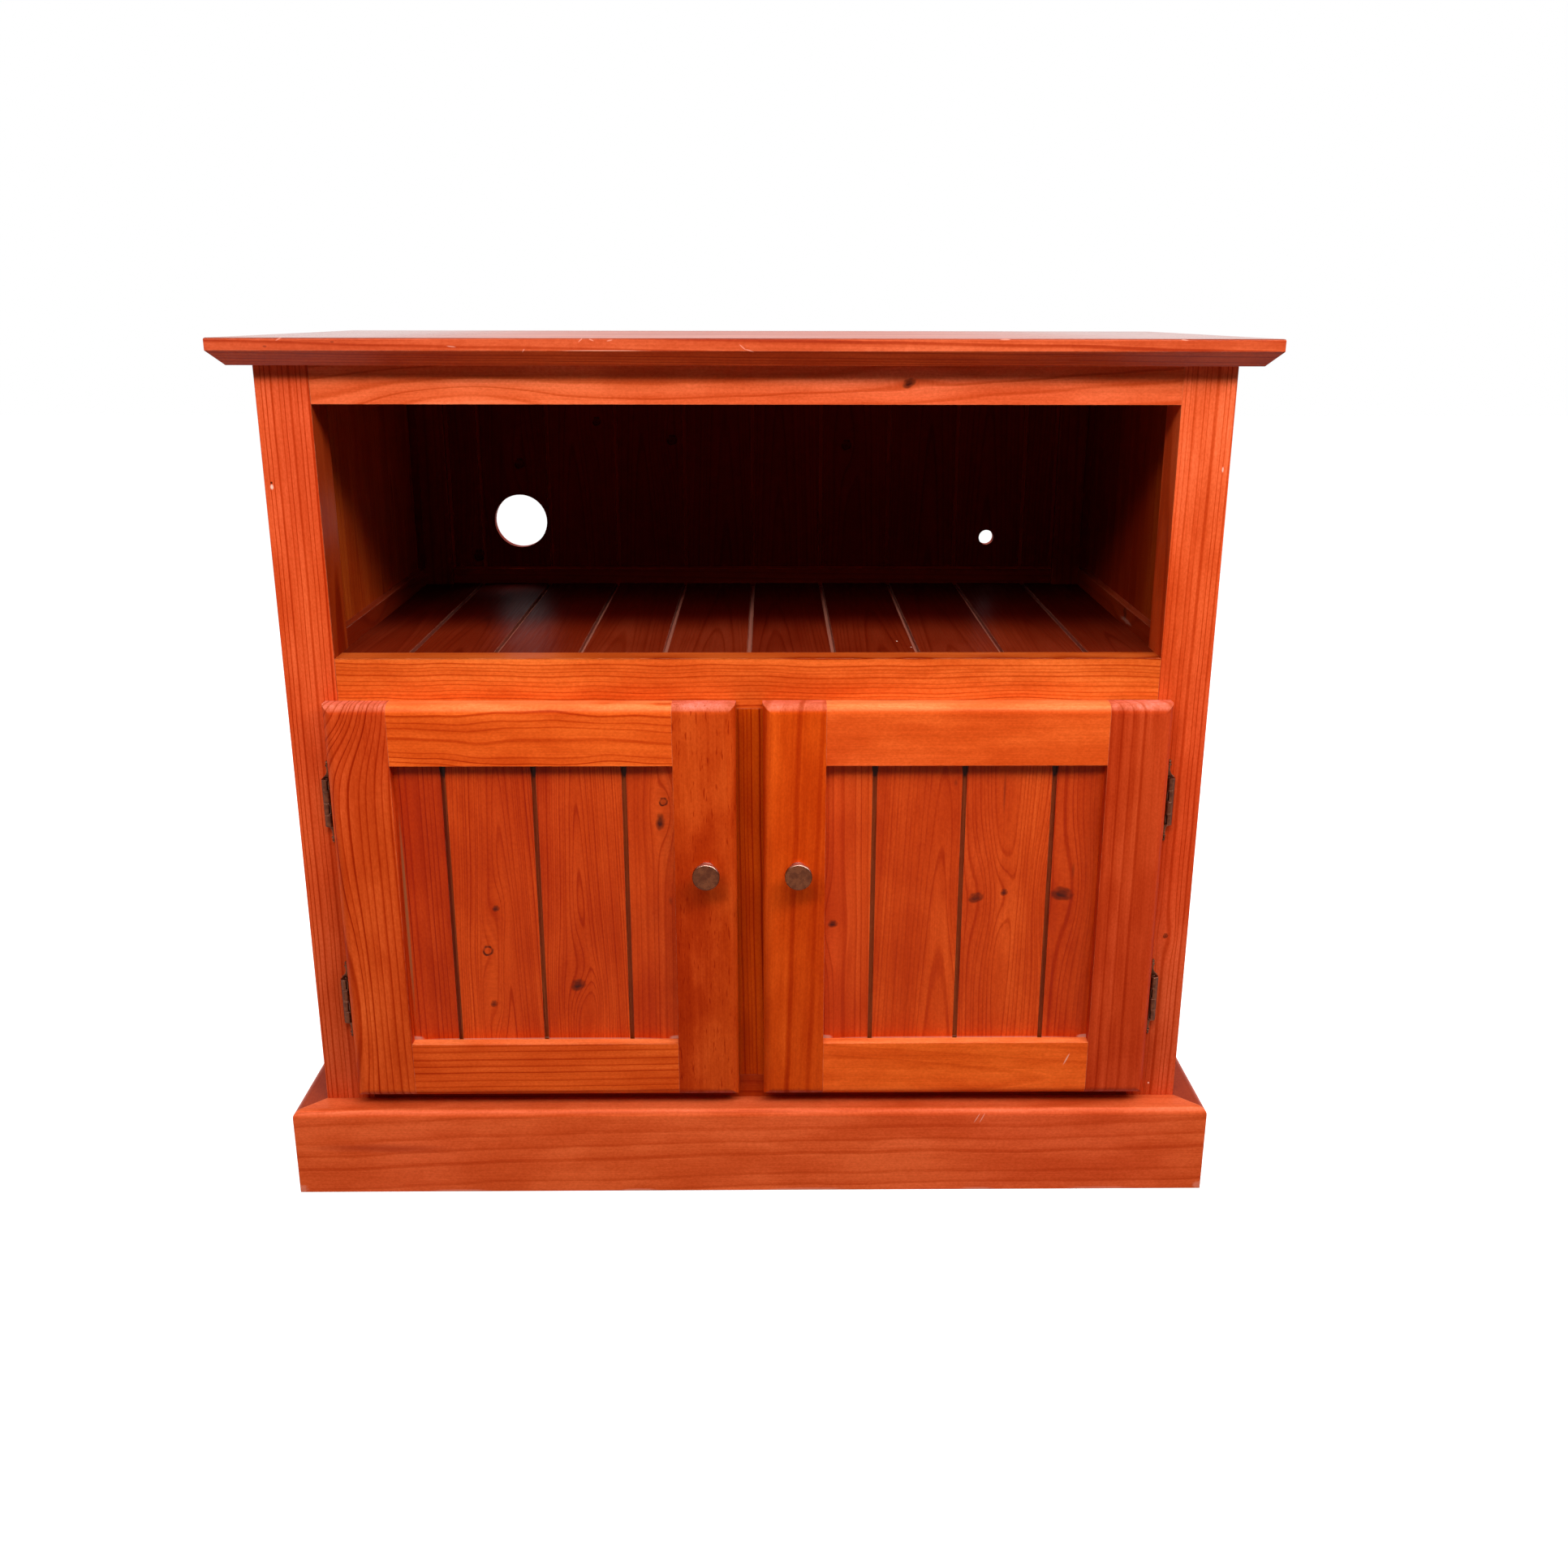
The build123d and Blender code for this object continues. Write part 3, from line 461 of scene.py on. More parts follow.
    def _arris(self) -> bpy.types.NodeTree:
        """Eased edges: a rounded normal and a broken mask of the arrises, for thinned finish and a
        painted highlight.
        """
        g, i, o = self._start(
            "Painted_highlight_and_worn arris", {"Vector": NOWHERE, "Radius": 0.0009, "Start": 0.32, "Seed": 0.0},
            {"Wear_and_highlight": "Float", "Normal": "Vector"})
        eased = g.node("Bevel", {"Radius": i["Radius"]}, samples=self.BEVEL_SAMPLES).outputs[0]
        flat = g.node("NewGeometry").outputs["Normal"]
        turned = g.minus(1.0, g.dot(eased, flat))
        patchy = self._noise(g, i, (90.0, 90.0, 90.0))
        broken = g.ramp(patchy, i["Start"], g.plus(i["Start"], 0.3))
        g.feed(o["Wear_and_highlight"], g.times(g.ramp(turned, self.WEAR_START, self.WEAR_FULL), broken))
        g.feed(o["Normal"], eased)
        return g.tree

    def _mark(self) -> bpy.types.NodeTree:
        """A soft-edged oval mark: the incoming vector is 1 long at its edge."""
        g, i, o = self._start("Mark", {"Vector": NOWHERE, "Blur": 0.4, "Break": 0.0},
                              {"Mask": "Float"})
        torn = g.swing(g.noise(i["Vector"], 2.6, 3.0), i["Break"])
        far = g.plus(g.vector("LENGTH", i["Vector"]), torn)
        g.feed(o["Mask"], g.ramp(far, g.minus(1.0, i["Blur"]), 1.0, 1.0, 0.0))
        return g.tree


@dataclass(frozen=True)
class Knot:
    """A knot, or with no heart a swirl of the grain, in metres."""

    place: Place
    size: float = 0.005
    reach: float = 3.0
    turn: float = 0.8
    rise: float = 0.003
    heart: float = 0.8
    rim: float = 0.8
    oval: Place = FULL_SIZE
    lean: Place = NOWHERE
    slim: float = 0.36


@dataclass(frozen=True)
class Mark:
    """A nick, scratch, scuff, line of gathered finish or spot of painted shade, as an oval in
    metres.
    """

    place: Place
    reach: Place
    tint: Colour
    strength: float = 0.7
    turn: Place = NOWHERE
    blur: float = 0.5
    tear: float = 0.3


@dataclass(frozen=True)
class Board:
    """How one board of a row was cut: where its heart lies and how it grew."""

    centre: float
    depth: float
    spacing: float
    taper: float
    contrast: float
    tone: float


@dataclass(frozen=True)
class BoardRow:
    """How a node of several boards is divided."""

    across: Place
    start: float
    pitch: float
    stray: float = 0.3
    spread: float = 0.12
    boards: tuple[Board, ...] = ()
    # A painted highlight along the joints, standing for the lit sides of the grooves.
    edge: Optional[Colour] = None
    painted_highlight_reach: float = 0.0028


@dataclass(frozen=True)
class Fade:
    """A slow change of colour along an axis: its gain is reached at the end."""

    axis: Place
    start: float
    end: float
    gain: Colour


@dataclass(frozen=True)
class PaintedInnerShade:
    """Painted shade on the faces of a board that lie inwards of a level, up to a stop: the bay's
    inner faces and the floors of grooves.
    """

    axis: Place
    start: float
    end: float
    tint: Colour
    stop: float = 9.0
    stop_reach: float = 0.0005


@dataclass(frozen=True)
class WoodFinish:
    """Stained pine under satin lacquer, cut from one place in the log."""

    name: str
    grain: Grain
    pith: Place = NOWHERE
    early: Colour = (0.72, 0.10, 0.020)
    warm: Colour = (0.80, 0.15, 0.025)
    deep: float = 0.52
    knot_heart: Colour = (0.050, 0.006, 0.003)
    knot_rim: Colour = (0.026, 0.004, 0.002)
    spacing: float = 0.006
    band: float = 0.4
    contrast: float = 0.7
    wander: float = 0.0012
    ripple: float = 0.0003
    taper: float = 0.01
    tilt: float = 0.0
    cloud: float = 0.13
    streak: float = 0.06
    fleck: float = 0.12
    seed: float = 0.0
    seed_step: float = 7.3
    # Pale tint of the arrises: partly thinned finish, partly a painted highlight.
    edge_wear_and_highlight: float = 0.5
    edge_wear_and_highlight_tint: Colour = (0.95, 0.33, 0.17)
    # Painted light and shade on faces that turn upwards: a paler colour paints a highlight, a
    # darker one paints shade.
    painted_up_lighting: Colour = (0.98, 0.30, 0.10)
    painted_up_lighting_strength: float = 0.0
    end_grain: Colour = (0.78, 0.23, 0.17)
    end_strength: float = 0.0
    roughness: float = 0.34
    gloss: float = 0.08
    relief: float = 0.12
    relief_reach: float = 0.0004
    dulled: float = 0.0
    face: Face = Face.FRONT
    knots: tuple[Knot, ...] = ()
    marks: tuple[Mark, ...] = ()
    fades: tuple[Fade, ...] = ()
    row: Optional[BoardRow] = None
    painted_inner_shade: Optional[PaintedInnerShade] = None

    # A streak or cloud lightens the wood by this share of what it darkens it.
    LIGHT_SHARE = 0.4
    # How far apart in seed the boards of a row may be.
    SEED_SPREAD = 40.0

    def build(self, effects: Effects) -> Material:
        """Makes the material.

        Args:
            effects: The shared node groups.

        Returns:
            The new material.
        """
        material = bpy.data.materials.new(self.name)
        g = Graph.of(material)
        coordinates = g.node("TexCoord").outputs
        here = coordinates["Object"]
        cut = self._cut(g, effects, here)
        flow, lift, hearts = self._grown_round_knots(g, effects, here, cut["flow"])
        pitch, yaw, roll = self.grain.turn
        log_frame = g.local(flow, self.pith, (pitch, yaw + math.radians(self.tilt), roll))
        rings = g.group(effects.rings, Vector=log_frame, Spacing=cut["spacing"], Band=self.band,
                        Wander=self.wander, Ripple=self.ripple, Taper=cut["taper"], Lift=lift,
                        Seed=cut["seed"]).outputs
        fibres = g.group(effects.fibres, Vector=log_frame, Seed=cut["seed"]).outputs
        stain = g.group(effects.stain, Vector=log_frame, Seed=cut["seed"]).outputs
        colour = g.mix(stain["Drift"], self.early, self.warm)
        colour = self._turned_up(g, coordinates["Normal"], colour)
        late = g.times(rings["Late wood"], cut["contrast"])
        fleck = g.times(fibres["Fleck"], self.fleck)
        late = g.math("MULTIPLY_ADD", g.math("MAXIMUM", late, fleck), self.deep - 1.0, 1.0)
        depth = g.times(self._depth(g, fibres, stain, rings["Ring tone"]), late)
        depth = g.times(depth, cut["tone"])
        colour = g.gain(colour, g.group(effects.soak, Depth=depth).outputs["Gain"])
        for heart, rim in hearts:
            colour = g.mix(heart, colour, self.knot_heart)
            colour = g.mix(rim, colour, self.knot_rim)
        colour = self._shaded(g, here, colour)
        arris = g.group(effects.arris, Vector=here, Seed=self.seed).outputs
        colour = g.cover(colour, arris["Wear_and_highlight"], self.edge_wear_and_highlight, self.edge_wear_and_highlight_tint)
        colour = self._marked(g, effects, here, colour)
        rough = self._roughness(g, here, fibres["Fibre"])
        height = g.math("MULTIPLY_ADD", rings["Late wood"], 0.5, fibres["Fibre"])
        normal = g.bump(self.relief, self.relief_reach, height, arris["Normal"])
        g.surface(colour, rough, normal, Specular_IOR_Level=self.gloss)
        return material

    def _cut(self, g: Graph, effects: Effects, here: Any) -> dict[str, Any]:
        """Says how the wood at a place was cut from the log.

        Args:
            g: The material's graph.
            effects: The shared node groups.
            here: The object coordinates.

        Returns:
            Coordinates in the log, ring spacing, taper, contrast, tone and seed.
        """
        row = self.row
        found = {"flow": here, "spacing": self.spacing, "taper": self.taper,
                 "contrast": self.contrast, "tone": 1.0, "seed": self.seed}
        if row and row.boards:
            number = g.math("FLOOR", g.steps(g.dot(here, row.across), row.start, row.pitch))
            place = g.math("DIVIDE", g.plus(number, 0.5), float(len(row.boards)))
            centre = g.plus(number, self._by_board(g, place, "centre"))
            centre = g.math("MULTIPLY_ADD", centre, row.pitch, row.start)
            depth = self._by_board(g, place, "depth")
            moved = g.vector("SUBTRACT", here, g.vector("SCALE", row.across, centre))
            found["flow"] = g.vector("SUBTRACT", moved, g.vector("SCALE", BACK, depth))
            for name in ("spacing", "taper", "contrast", "tone"):
                found[name] = self._by_board(g, place, name)
            found["seed"] = g.math("MULTIPLY_ADD", number, self.seed_step, self.seed)
        elif row:
            split = g.group(effects.boards, Vector=here, Across=row.across,
                            Along=self.grain.value, Start=row.start, Pitch=row.pitch,
                            Stray=row.stray, Seed=self.seed).outputs
            found["flow"] = split["Vector"]
            found["seed"] = g.math("MULTIPLY_ADD", split["Tone"], self.SEED_SPREAD, self.seed)
            found["tone"] = g.ramp(split["Tone"], 0.0, 1.0, 1.0 - row.spread,
                                   1.0 + row.spread * 0.5)
        return found

    def _by_board(self, g: Graph, place: Any, name: str) -> Socket:
        """Gives one of the boards' values by the place in their row."""
        return g.choose(place, tuple(getattr(board, name) for board in self.row.boards))

    def _grown_round_knots(self, g: Graph, effects: Effects, here: Any,
                           flow: Any) -> tuple[Any, Any, list]:
        """Turns the grain round each knot.

        Args:
            g: The material's graph.
            effects: The shared node groups.
            here: The object coordinates.
            flow: The coordinates in the log before the knots.

        Returns:
            The turned coordinates, the rings' lift, and the masks of hearts and rims.
        """
        lift: Any = 0.0
        masks = []
        for knot in self.knots:
            reach = tuple(knot.size * part for part in knot.oval)
            oval = g.local(here, knot.place, knot.lean, reach)
            made = g.group(effects.knot, Vector=here, Flow=flow, Oval=oval, Place=knot.place,
                           Plane=self.face.value, Along=self.grain.value,
                           Span=knot.size * knot.reach, Slim=knot.slim, Turn=knot.turn,
                           Rise=knot.rise).outputs
            flow = made["Flow"]
            lift = g.plus(lift, made["Lift"])
            if knot.heart or knot.rim:
                masks.append((g.times(made["Heart"], knot.heart), g.times(made["Rim"], knot.rim)))
        return flow, lift, masks

    def _depth(self, g: Graph, fibres: Any, stain: Any, tone: Any) -> Socket:
        """Multiplies the streaks, clouds, fine grit and ring tones.

        Args:
            g: The material's graph.
            fibres: The fibre group's outputs.
            stain: The stain group's outputs.
            tone: A random tone for each ring.

        Returns:
            The stain's depth.
        """
        streak = g.ramp(fibres["Streak"], 0.3, 0.7, 1.0 - self.streak,
                        1.0 + self.streak * self.LIGHT_SHARE)
        cloud = g.ramp(stain["Cloud"], 0.0, 1.0, 1.0 - self.cloud,
                       1.0 + self.cloud * self.LIGHT_SHARE)
        grit = g.ramp(fibres["Fibre"], 0.25, 0.75, 0.94, 1.04)
        mottle = g.ramp(stain["Mottle"], 0.25, 0.75, 0.92, 1.06)
        grit = g.times(grit, mottle)
        rings = g.ramp(tone, 0.0, 1.0, 0.95, 1.03)
        return g.times(g.times(streak, cloud), g.times(grit, rings))

    def _turned_up(self, g: Graph, normal: Any, colour: Any) -> Any:
        """Paints light and shade by how far a face turns upwards, and lightens the end grain.

        Args:
            g: The material's graph.
            normal: The object's own normal.
            colour: The colour so far.

        Returns:
            The changed colour.
        """
        if self.painted_up_lighting_strength:
            # Painted light and shade, by how far the face turns upwards.
            up = g.ramp(g.dot(normal, UP), 0.15, 0.80, 0.0, self.painted_up_lighting_strength)
            colour = g.mix(up, colour, self.painted_up_lighting)
        if self.end_strength:
            out = g.math("ABSOLUTE", g.dot(normal, self.grain.value))
            colour = g.mix(g.ramp(out, 0.25, 0.85, 0.0, self.end_strength), colour, self.end_grain)
        return colour

    def _shaded(self, g: Graph, here: Any, colour: Any) -> Any:
        """Adds the slow fades, the painted shade of inner faces and grooves, and the painted
        highlight along the boards' joints.

        Args:
            g: The material's graph.
            here: The object coordinates.
            colour: The colour so far.

        Returns:
            The changed colour.
        """
        for fade in self.fades:
            level = g.ramp(g.dot(here, fade.axis), fade.start, fade.end)
            colour = g.gain(colour, g.mix(level, WHITE, fade.gain))
        if self.painted_inner_shade:
            inner = self.painted_inner_shade
            level = g.dot(here, inner.axis)
            mask = g.times(g.ramp(level, inner.start, inner.end),
                           g.ramp(level, inner.stop, inner.stop + inner.stop_reach, 1.0, 0.0))
            colour = g.mix(mask, colour, g.gain(colour, inner.tint))
        row = self.row
        if row and row.edge:
            part = g.steps(g.dot(here, row.across), row.start, row.pitch)
            gap = g.math("ABSOLUTE", g.minus(part, g.math("ROUND", part)))
            reach = row.painted_highlight_reach / row.pitch
            colour = g.mix(g.ramp(gap, reach * 0.35, reach, 0.75, 0.0), colour, row.edge)
        return colour

    def _marked(self, g: Graph, effects: Effects, here: Any, colour: Any) -> Any:
        """Lays the nicks, scratches, residue and painted shade over a colour.

        Args:
            g: The material's graph.
            effects: The shared node groups.
            here: The object coordinates.
            colour: The colour so far.

        Returns:
            The changed colour.
        """
        for mark in self.marks:
            oval = g.local(here, mark.place, mark.turn, mark.reach)
            made = g.group(effects.mark, Vector=oval, Blur=mark.blur, Break=mark.tear)
            colour = g.cover(colour, made.outputs["Mask"], mark.strength, mark.tint)
        return colour

    def _roughness(self, g: Graph, here: Any, fibre: Any) -> Socket:
        """Makes the lacquer's roughness, dulled towards the middle if the finish says so.

        Args:
            g: The material's graph.
            here: The object coordinates.
            fibre: The fine fibres' pattern.

        Returns:
            The roughness.
        """
        rough = g.ramp(fibre, 0.2, 0.8, self.roughness - 0.05, self.roughness + 0.09)
        if self.dulled:
            over = g.math("ABSOLUTE", g.dot(here, RIGHT))
            rough = g.plus(rough, g.ramp(over, 0.10, 0.40, self.dulled, 0.0))
        return rough


@dataclass(frozen=True)
class BareWoodFinish:
    """Unfinished softwood of the hidden blocks and ledgers."""

    name: str = "Bare softwood"
    pale: Colour = (0.68, 0.46, 0.25)
    ring: Colour = (0.47, 0.26, 0.11)
    pith: Place = (0.0, 0.31, 0.17)
    seed: float = 31.0

    def build(self, effects: Effects) -> Material:
        """Makes the material.

        Args:
            effects: The shared node groups.

        Returns:
            The new material.
        """
        material = bpy.data.materials.new(self.name)
        g = Graph.of(material)
        here = g.node("TexCoord").outputs["Object"]
        log_frame = g.local(here, self.pith, Grain.X.turn)
        rings = g.group(effects.rings, Vector=log_frame, Spacing=0.0045, Band=0.45, Wander=0.001,
                        Ripple=0.0004, Taper=0.01, Seed=self.seed)
        fibres = g.group(effects.fibres, Vector=log_frame, Seed=self.seed).outputs
        colour = g.cover(self.pale, rings.outputs["Late wood"], 0.6, self.ring)
        shade = g.ramp(fibres["Fibre"], 0.2, 0.8, 0.82, 1.06)
        colour = g.vector("SCALE", colour, shade)
        normal = g.bump(0.3, 0.0004, fibres["Fibre"])
        rough = g.ramp(fibres["Streak"], 0.2, 0.8, 0.68, 0.82)
        g.surface(colour, rough, normal, Specular_IOR_Level=0.25)
        return material


@dataclass(frozen=True)
class MetalFinish:
    """Plated or lacquered metal with mottling, pale arrises that are partly thinned finish and
    partly a painted highlight, and a painted highlight on faces turned upwards.
    """

    name: str
    deep: Colour
    bright: Colour
    rubbed_and_highlight_tint: Colour
    roughness: float = 0.4
    mottle: float = 260.0
    edge_wear_and_highlight: float = 0.8
    # A painted highlight on the faces turned towards an axis up and to the right.
    painted_up_lighting: float = 0.0
    painted_up_lighting_axis: Place = (0.25, 0.0, 0.97)

    def build(self, effects: Effects) -> Material:
        """Makes the material.

        Args:
            effects: The shared node groups.

        Returns:
            The new material.
        """
        material = bpy.data.materials.new(self.name)
        g = Graph.of(material)
        coordinates = g.node("TexCoord").outputs
        here = coordinates["Object"]
        cloud = g.noise(here, self.mottle, 4.0, 0.6)
        speck = g.noise(here, self.mottle * 6.0, 2.0, 0.6)
        colour = g.mix(g.ramp(cloud, 0.34, 0.66), self.deep, self.bright)
        colour = g.cover(colour, g.ramp(speck, 0.58, 0.74), 0.5, self.deep)
        arris = g.group(effects.arris, Vector=here, Radius=0.0006, Seed=5.0).outputs
        colour = g.cover(colour, arris["Wear_and_highlight"], self.edge_wear_and_highlight, self.rubbed_and_highlight_tint)
        # Painted highlight on the faces turned towards the lamps.
        if self.painted_up_lighting:
            up = g.dot(coordinates["Normal"], self.painted_up_lighting_axis)
            colour = g.mix(g.ramp(up, 0.35, 0.95, 0.0, self.painted_up_lighting), colour, self.rubbed_and_highlight_tint)
        rough = g.ramp(cloud, 0.3, 0.7, self.roughness - 0.08, self.roughness + 0.1)
        normal = g.bump(0.15, 0.0002, speck, arris["Normal"])
        g.surface(colour, rough, normal, Metallic=0.9)
        return material


@dataclass(frozen=True)
class PlasticFinish:
    """Brown moulded plastic of the catch cases, with a fine spark-eroded texture."""

    name: str = "Catch plastic"
    deep: Colour = (0.030, 0.014, 0.009)
    bright: Colour = (0.050, 0.024, 0.015)

    def build(self, effects: Effects) -> Material:
        """Makes the material.

        Args:
            effects: The shared node groups.

        Returns:
            The new material.
        """
        material = bpy.data.materials.new(self.name)
        g = Graph.of(material)
        here = g.node("TexCoord").outputs["Object"]
        grain = g.noise(here, 2600.0)
        cloud = g.noise(here, 90.0)
        arris = g.group(effects.arris, Vector=here, Radius=0.0004, Seed=9.0)
        colour = g.mix(g.ramp(cloud, 0.3, 0.7), self.deep, self.bright)
        normal = g.bump(0.2, 0.0001, grain, arris.outputs["Normal"])
        g.surface(colour, g.ramp(grain, 0.3, 0.7, 0.42, 0.55), normal)
        return material


def dress(node: str, material: Material) -> None:
    """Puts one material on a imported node.

    Args:
        node: The node's name.
        material: The finish that it gets.
    """
    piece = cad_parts[node]
    piece.data.materials.clear()
    piece.data.materials.append(material)
    log.info("%s wears %s", node, material.name)


PALE_BUILD_UP: Colour = (0.62, 0.36, 0.27)
BARE_NICK: Colour = (0.98, 0.62, 0.48)
# Near black: painted shade at the top ends of the panels' grooves, and a dark spot beside a nick on
# the left post.
NEAR_BLACK: Colour = (0.030, 0.005, 0.002)
SMUDGE: Colour = (0.22, 0.020, 0.004)
MILLIMETRE = 0.001
# What one tongue-and-groove board covers, and how far behind a flat-sawn face the pith lies.
BOARD_COVER = 0.083
PITH_BEHIND = 0.03

# The stiles' and rails' paler tint on faces that turn upwards is a painted highlight on their
# round-overs.
STILE = WoodFinish(
    name="Stile", grain=Grain.Z, early=(0.71, 0.076, 0.013), warm=(0.77, 0.102, 0.015),
    spacing=0.0062, band=0.5, contrast=0.72, gloss=0.03, painted_up_lighting_strength=0.2, end_strength=0.65)
RAIL = WoodFinish(
    name="Rail", grain=Grain.X, early=(0.88, 0.112, 0.012), warm=(0.94, 0.145, 0.016),
    spacing=0.0085, contrast=0.72, gloss=0.04, painted_up_lighting_strength=0.6)
PANEL = WoodFinish(
    name="Panel", grain=Grain.Z, early=(0.62, 0.058, 0.007), warm=(0.71, 0.080, 0.009),
    spacing=0.0034, band=0.55, contrast=0.6, wander=0.0004, ripple=0.00012, taper=0.02,
    edge_wear_and_highlight=0.2)
# The bronze's pale arrises are partly thinned finish and partly a painted highlight.
ANTIQUE_BRONZE = MetalFinish(
    name="Antique bronze", deep=(0.058, 0.014, 0.006), bright=(0.120, 0.034, 0.014),
    rubbed_and_highlight_tint=(0.55, 0.24, 0.16))
# The knob's cream tint on its upper rim is a painted highlight.
KNOB_BRONZE = MetalFinish(
    name="Knob bronze", deep=(0.066, 0.016, 0.006), bright=(0.120, 0.034, 0.013),
    rubbed_and_highlight_tint=(0.86, 0.56, 0.44), roughness=0.24, mottle=150.0, painted_up_lighting=0.9)
ZINC_PLATE = MetalFinish(
    name="Zinc plate", deep=(0.42, 0.42, 0.40), bright=(0.60, 0.60, 0.58),
    rubbed_and_highlight_tint=(0.72, 0.72, 0.70), roughness=0.34, mottle=180.0, edge_wear_and_highlight=0.4)


@dataclass
class Door:
    """One framed door: stiles, rails, boarded panel, knob and its half of the hinges."""

    side: str
    front: float = -0.2338
    panel_front: float = -0.2218
    pitch: float = 0.0888
    panel_middle: float = 0.2125
    panel_half: float = 0.1375
    panel_foot: float = 0.170
    panel_head: float = 0.4705

    @property
    def hand(self) -> int:
        """-1 for the left door and 1 for the right one."""
        return -1 if self.side == "left" else 1

    def stile_finish(self) -> dict[str, WoodFinish]:
        """Gives the finishes of the two stiles by node name."""
        if self.side == "left":
            hinge = replace(
                STILE, name="Left door hinge stile", pith=(-0.52, self.front + PITH_BEHIND, 0.30),
                seed=3.0, early=(0.71, 0.074, 0.013), spacing=0.0082, contrast=1.0, wander=0.0016,
                taper=0.012,
                knots=(Knot((-0.410, self.front, 0.545), 0.02, 2.5, 0.0, -0.060, 0.0, 0.0,
                            slim=0.9),
                       Knot((-0.400, self.front, 0.215), 0.006, 2.4, 0.0, -0.016, 0.0, 0.0,
                            slim=0.13)))
            meeting = replace(
                STILE, name="Left door meeting stile", pith=(0.31, -0.10, 0.3), seed=7.0,
                early=(0.60, 0.058, 0.006), warm=(0.66, 0.078, 0.007), spacing=0.011,
                contrast=0.12, cloud=0.26, fleck=0.65, streak=0.08,
                # Painted shade: darker towards the bottom.
                fades=(Fade(DOWN, -0.45, -0.15, (0.94, 0.92, 1.0)),))
        else:
            hinge = replace(
                STILE, name="Right door hinge stile", pith=(0.62, -0.12, 0.2), seed=13.0,
                early=(0.60, 0.053, 0.012), warm=(0.66, 0.072, 0.014), spacing=0.0150, band=0.8,
                contrast=0.55, wander=0.0022, streak=0.12, fleck=0.1, tilt=-0.6)
            meeting = replace(
                STILE, name="Right door meeting stile", pith=(-0.12, -0.19, 0.3), seed=19.0,
                early=(0.71, 0.066, 0.004), warm=(0.77, 0.088, 0.005), spacing=0.027, band=0.2,
                contrast=0.6, wander=0.002, ripple=0.001, tilt=2.0, streak=0.08,
                # Painted shade: darker towards the bottom.
                fades=(Fade(DOWN, -0.45, -0.15, (0.88, 0.86, 1.0)),))
        return {f"{self.side}_door_hinge_stile": hinge, f"{self.side}_door_meeting_stile": meeting}

    def rail_finish(self) -> dict[str, WoodFinish]:
        """Gives the finishes of the two rails by node name."""
        if self.side == "left":
            top = replace(RAIL, name="Left door top rail",
                          pith=(0.0, self.front + PITH_BEHIND, 0.36), seed=23.0, band=0.35,
                          contrast=0.85, wander=0.001, ripple=0.0036, taper=0.012)
            bottom = replace(RAIL, name="Left door bottom rail",
                             pith=(0.0, self.front + PITH_BEHIND, 0.30), seed=29.0,
                             early=(0.79, 0.096, 0.012), warm=(0.85, 0.125, 0.015),
                             spacing=0.0078, band=0.35, contrast=0.75, wander=0.0014,
                             ripple=0.0004, taper=0.004)
        else:
            top = replace(RAIL, name="Right door top rail", pith=(0.0, -0.40, 0.45), seed=37.0,
                          early=(0.80, 0.088, 0.012), warm=(0.86, 0.114, 0.015),
                          spacing=0.03, band=0.7, contrast=0.12, wander=0.004, streak=0.04)
            bottom = replace(RAIL, name="Right door bottom rail",
                             pith=(0.2, self.front + 0.02, 0.13), seed=41.0,
                             early=(0.93, 0.110, 0.015), spacing=0.012, band=0.7,
                             contrast=0.26, wander=0.003, taper=0.06,
                             marks=(Mark((0.3285, self.front, 0.151), (0.0009, 0.002, 0.0085),
                                         (0.95, 0.42, 0.28), 0.8, (0.0, 0.42, 0.0)),))
        return {f"{self.side}_door_top_rail": top, f"{self.side}_door_bottom_rail": bottom}

    def panel_boards(self) -> tuple[Board, ...]:
        """Gives the four boards' cuts from left to right."""
        if self.side == "left":
            return (Board(-0.6, 0.030, 0.0070, 0.006, 0.9, 0.88),
                    Board(0.58, 0.009, 0.0031, 0.034, 0.75, 0.93),
                    Board(0.456, 0.010, 0.0022, 0.028, 0.75, 0.94),
                    Board(1.5, 0.030, 0.0060, 0.010, 0.60, 0.97))
        return (Board(-0.5, 0.030, 0.0075, 0.012, 0.65, 1.04),
                Board(0.78, 0.022, 0.0040, 0.040, 0.50, 0.95),
                Board(0.49, 0.012, 0.0036, -0.028, 0.65, 1.06),
                Board(1.4, 0.020, 0.0060, 0.010, 0.60, 0.93))

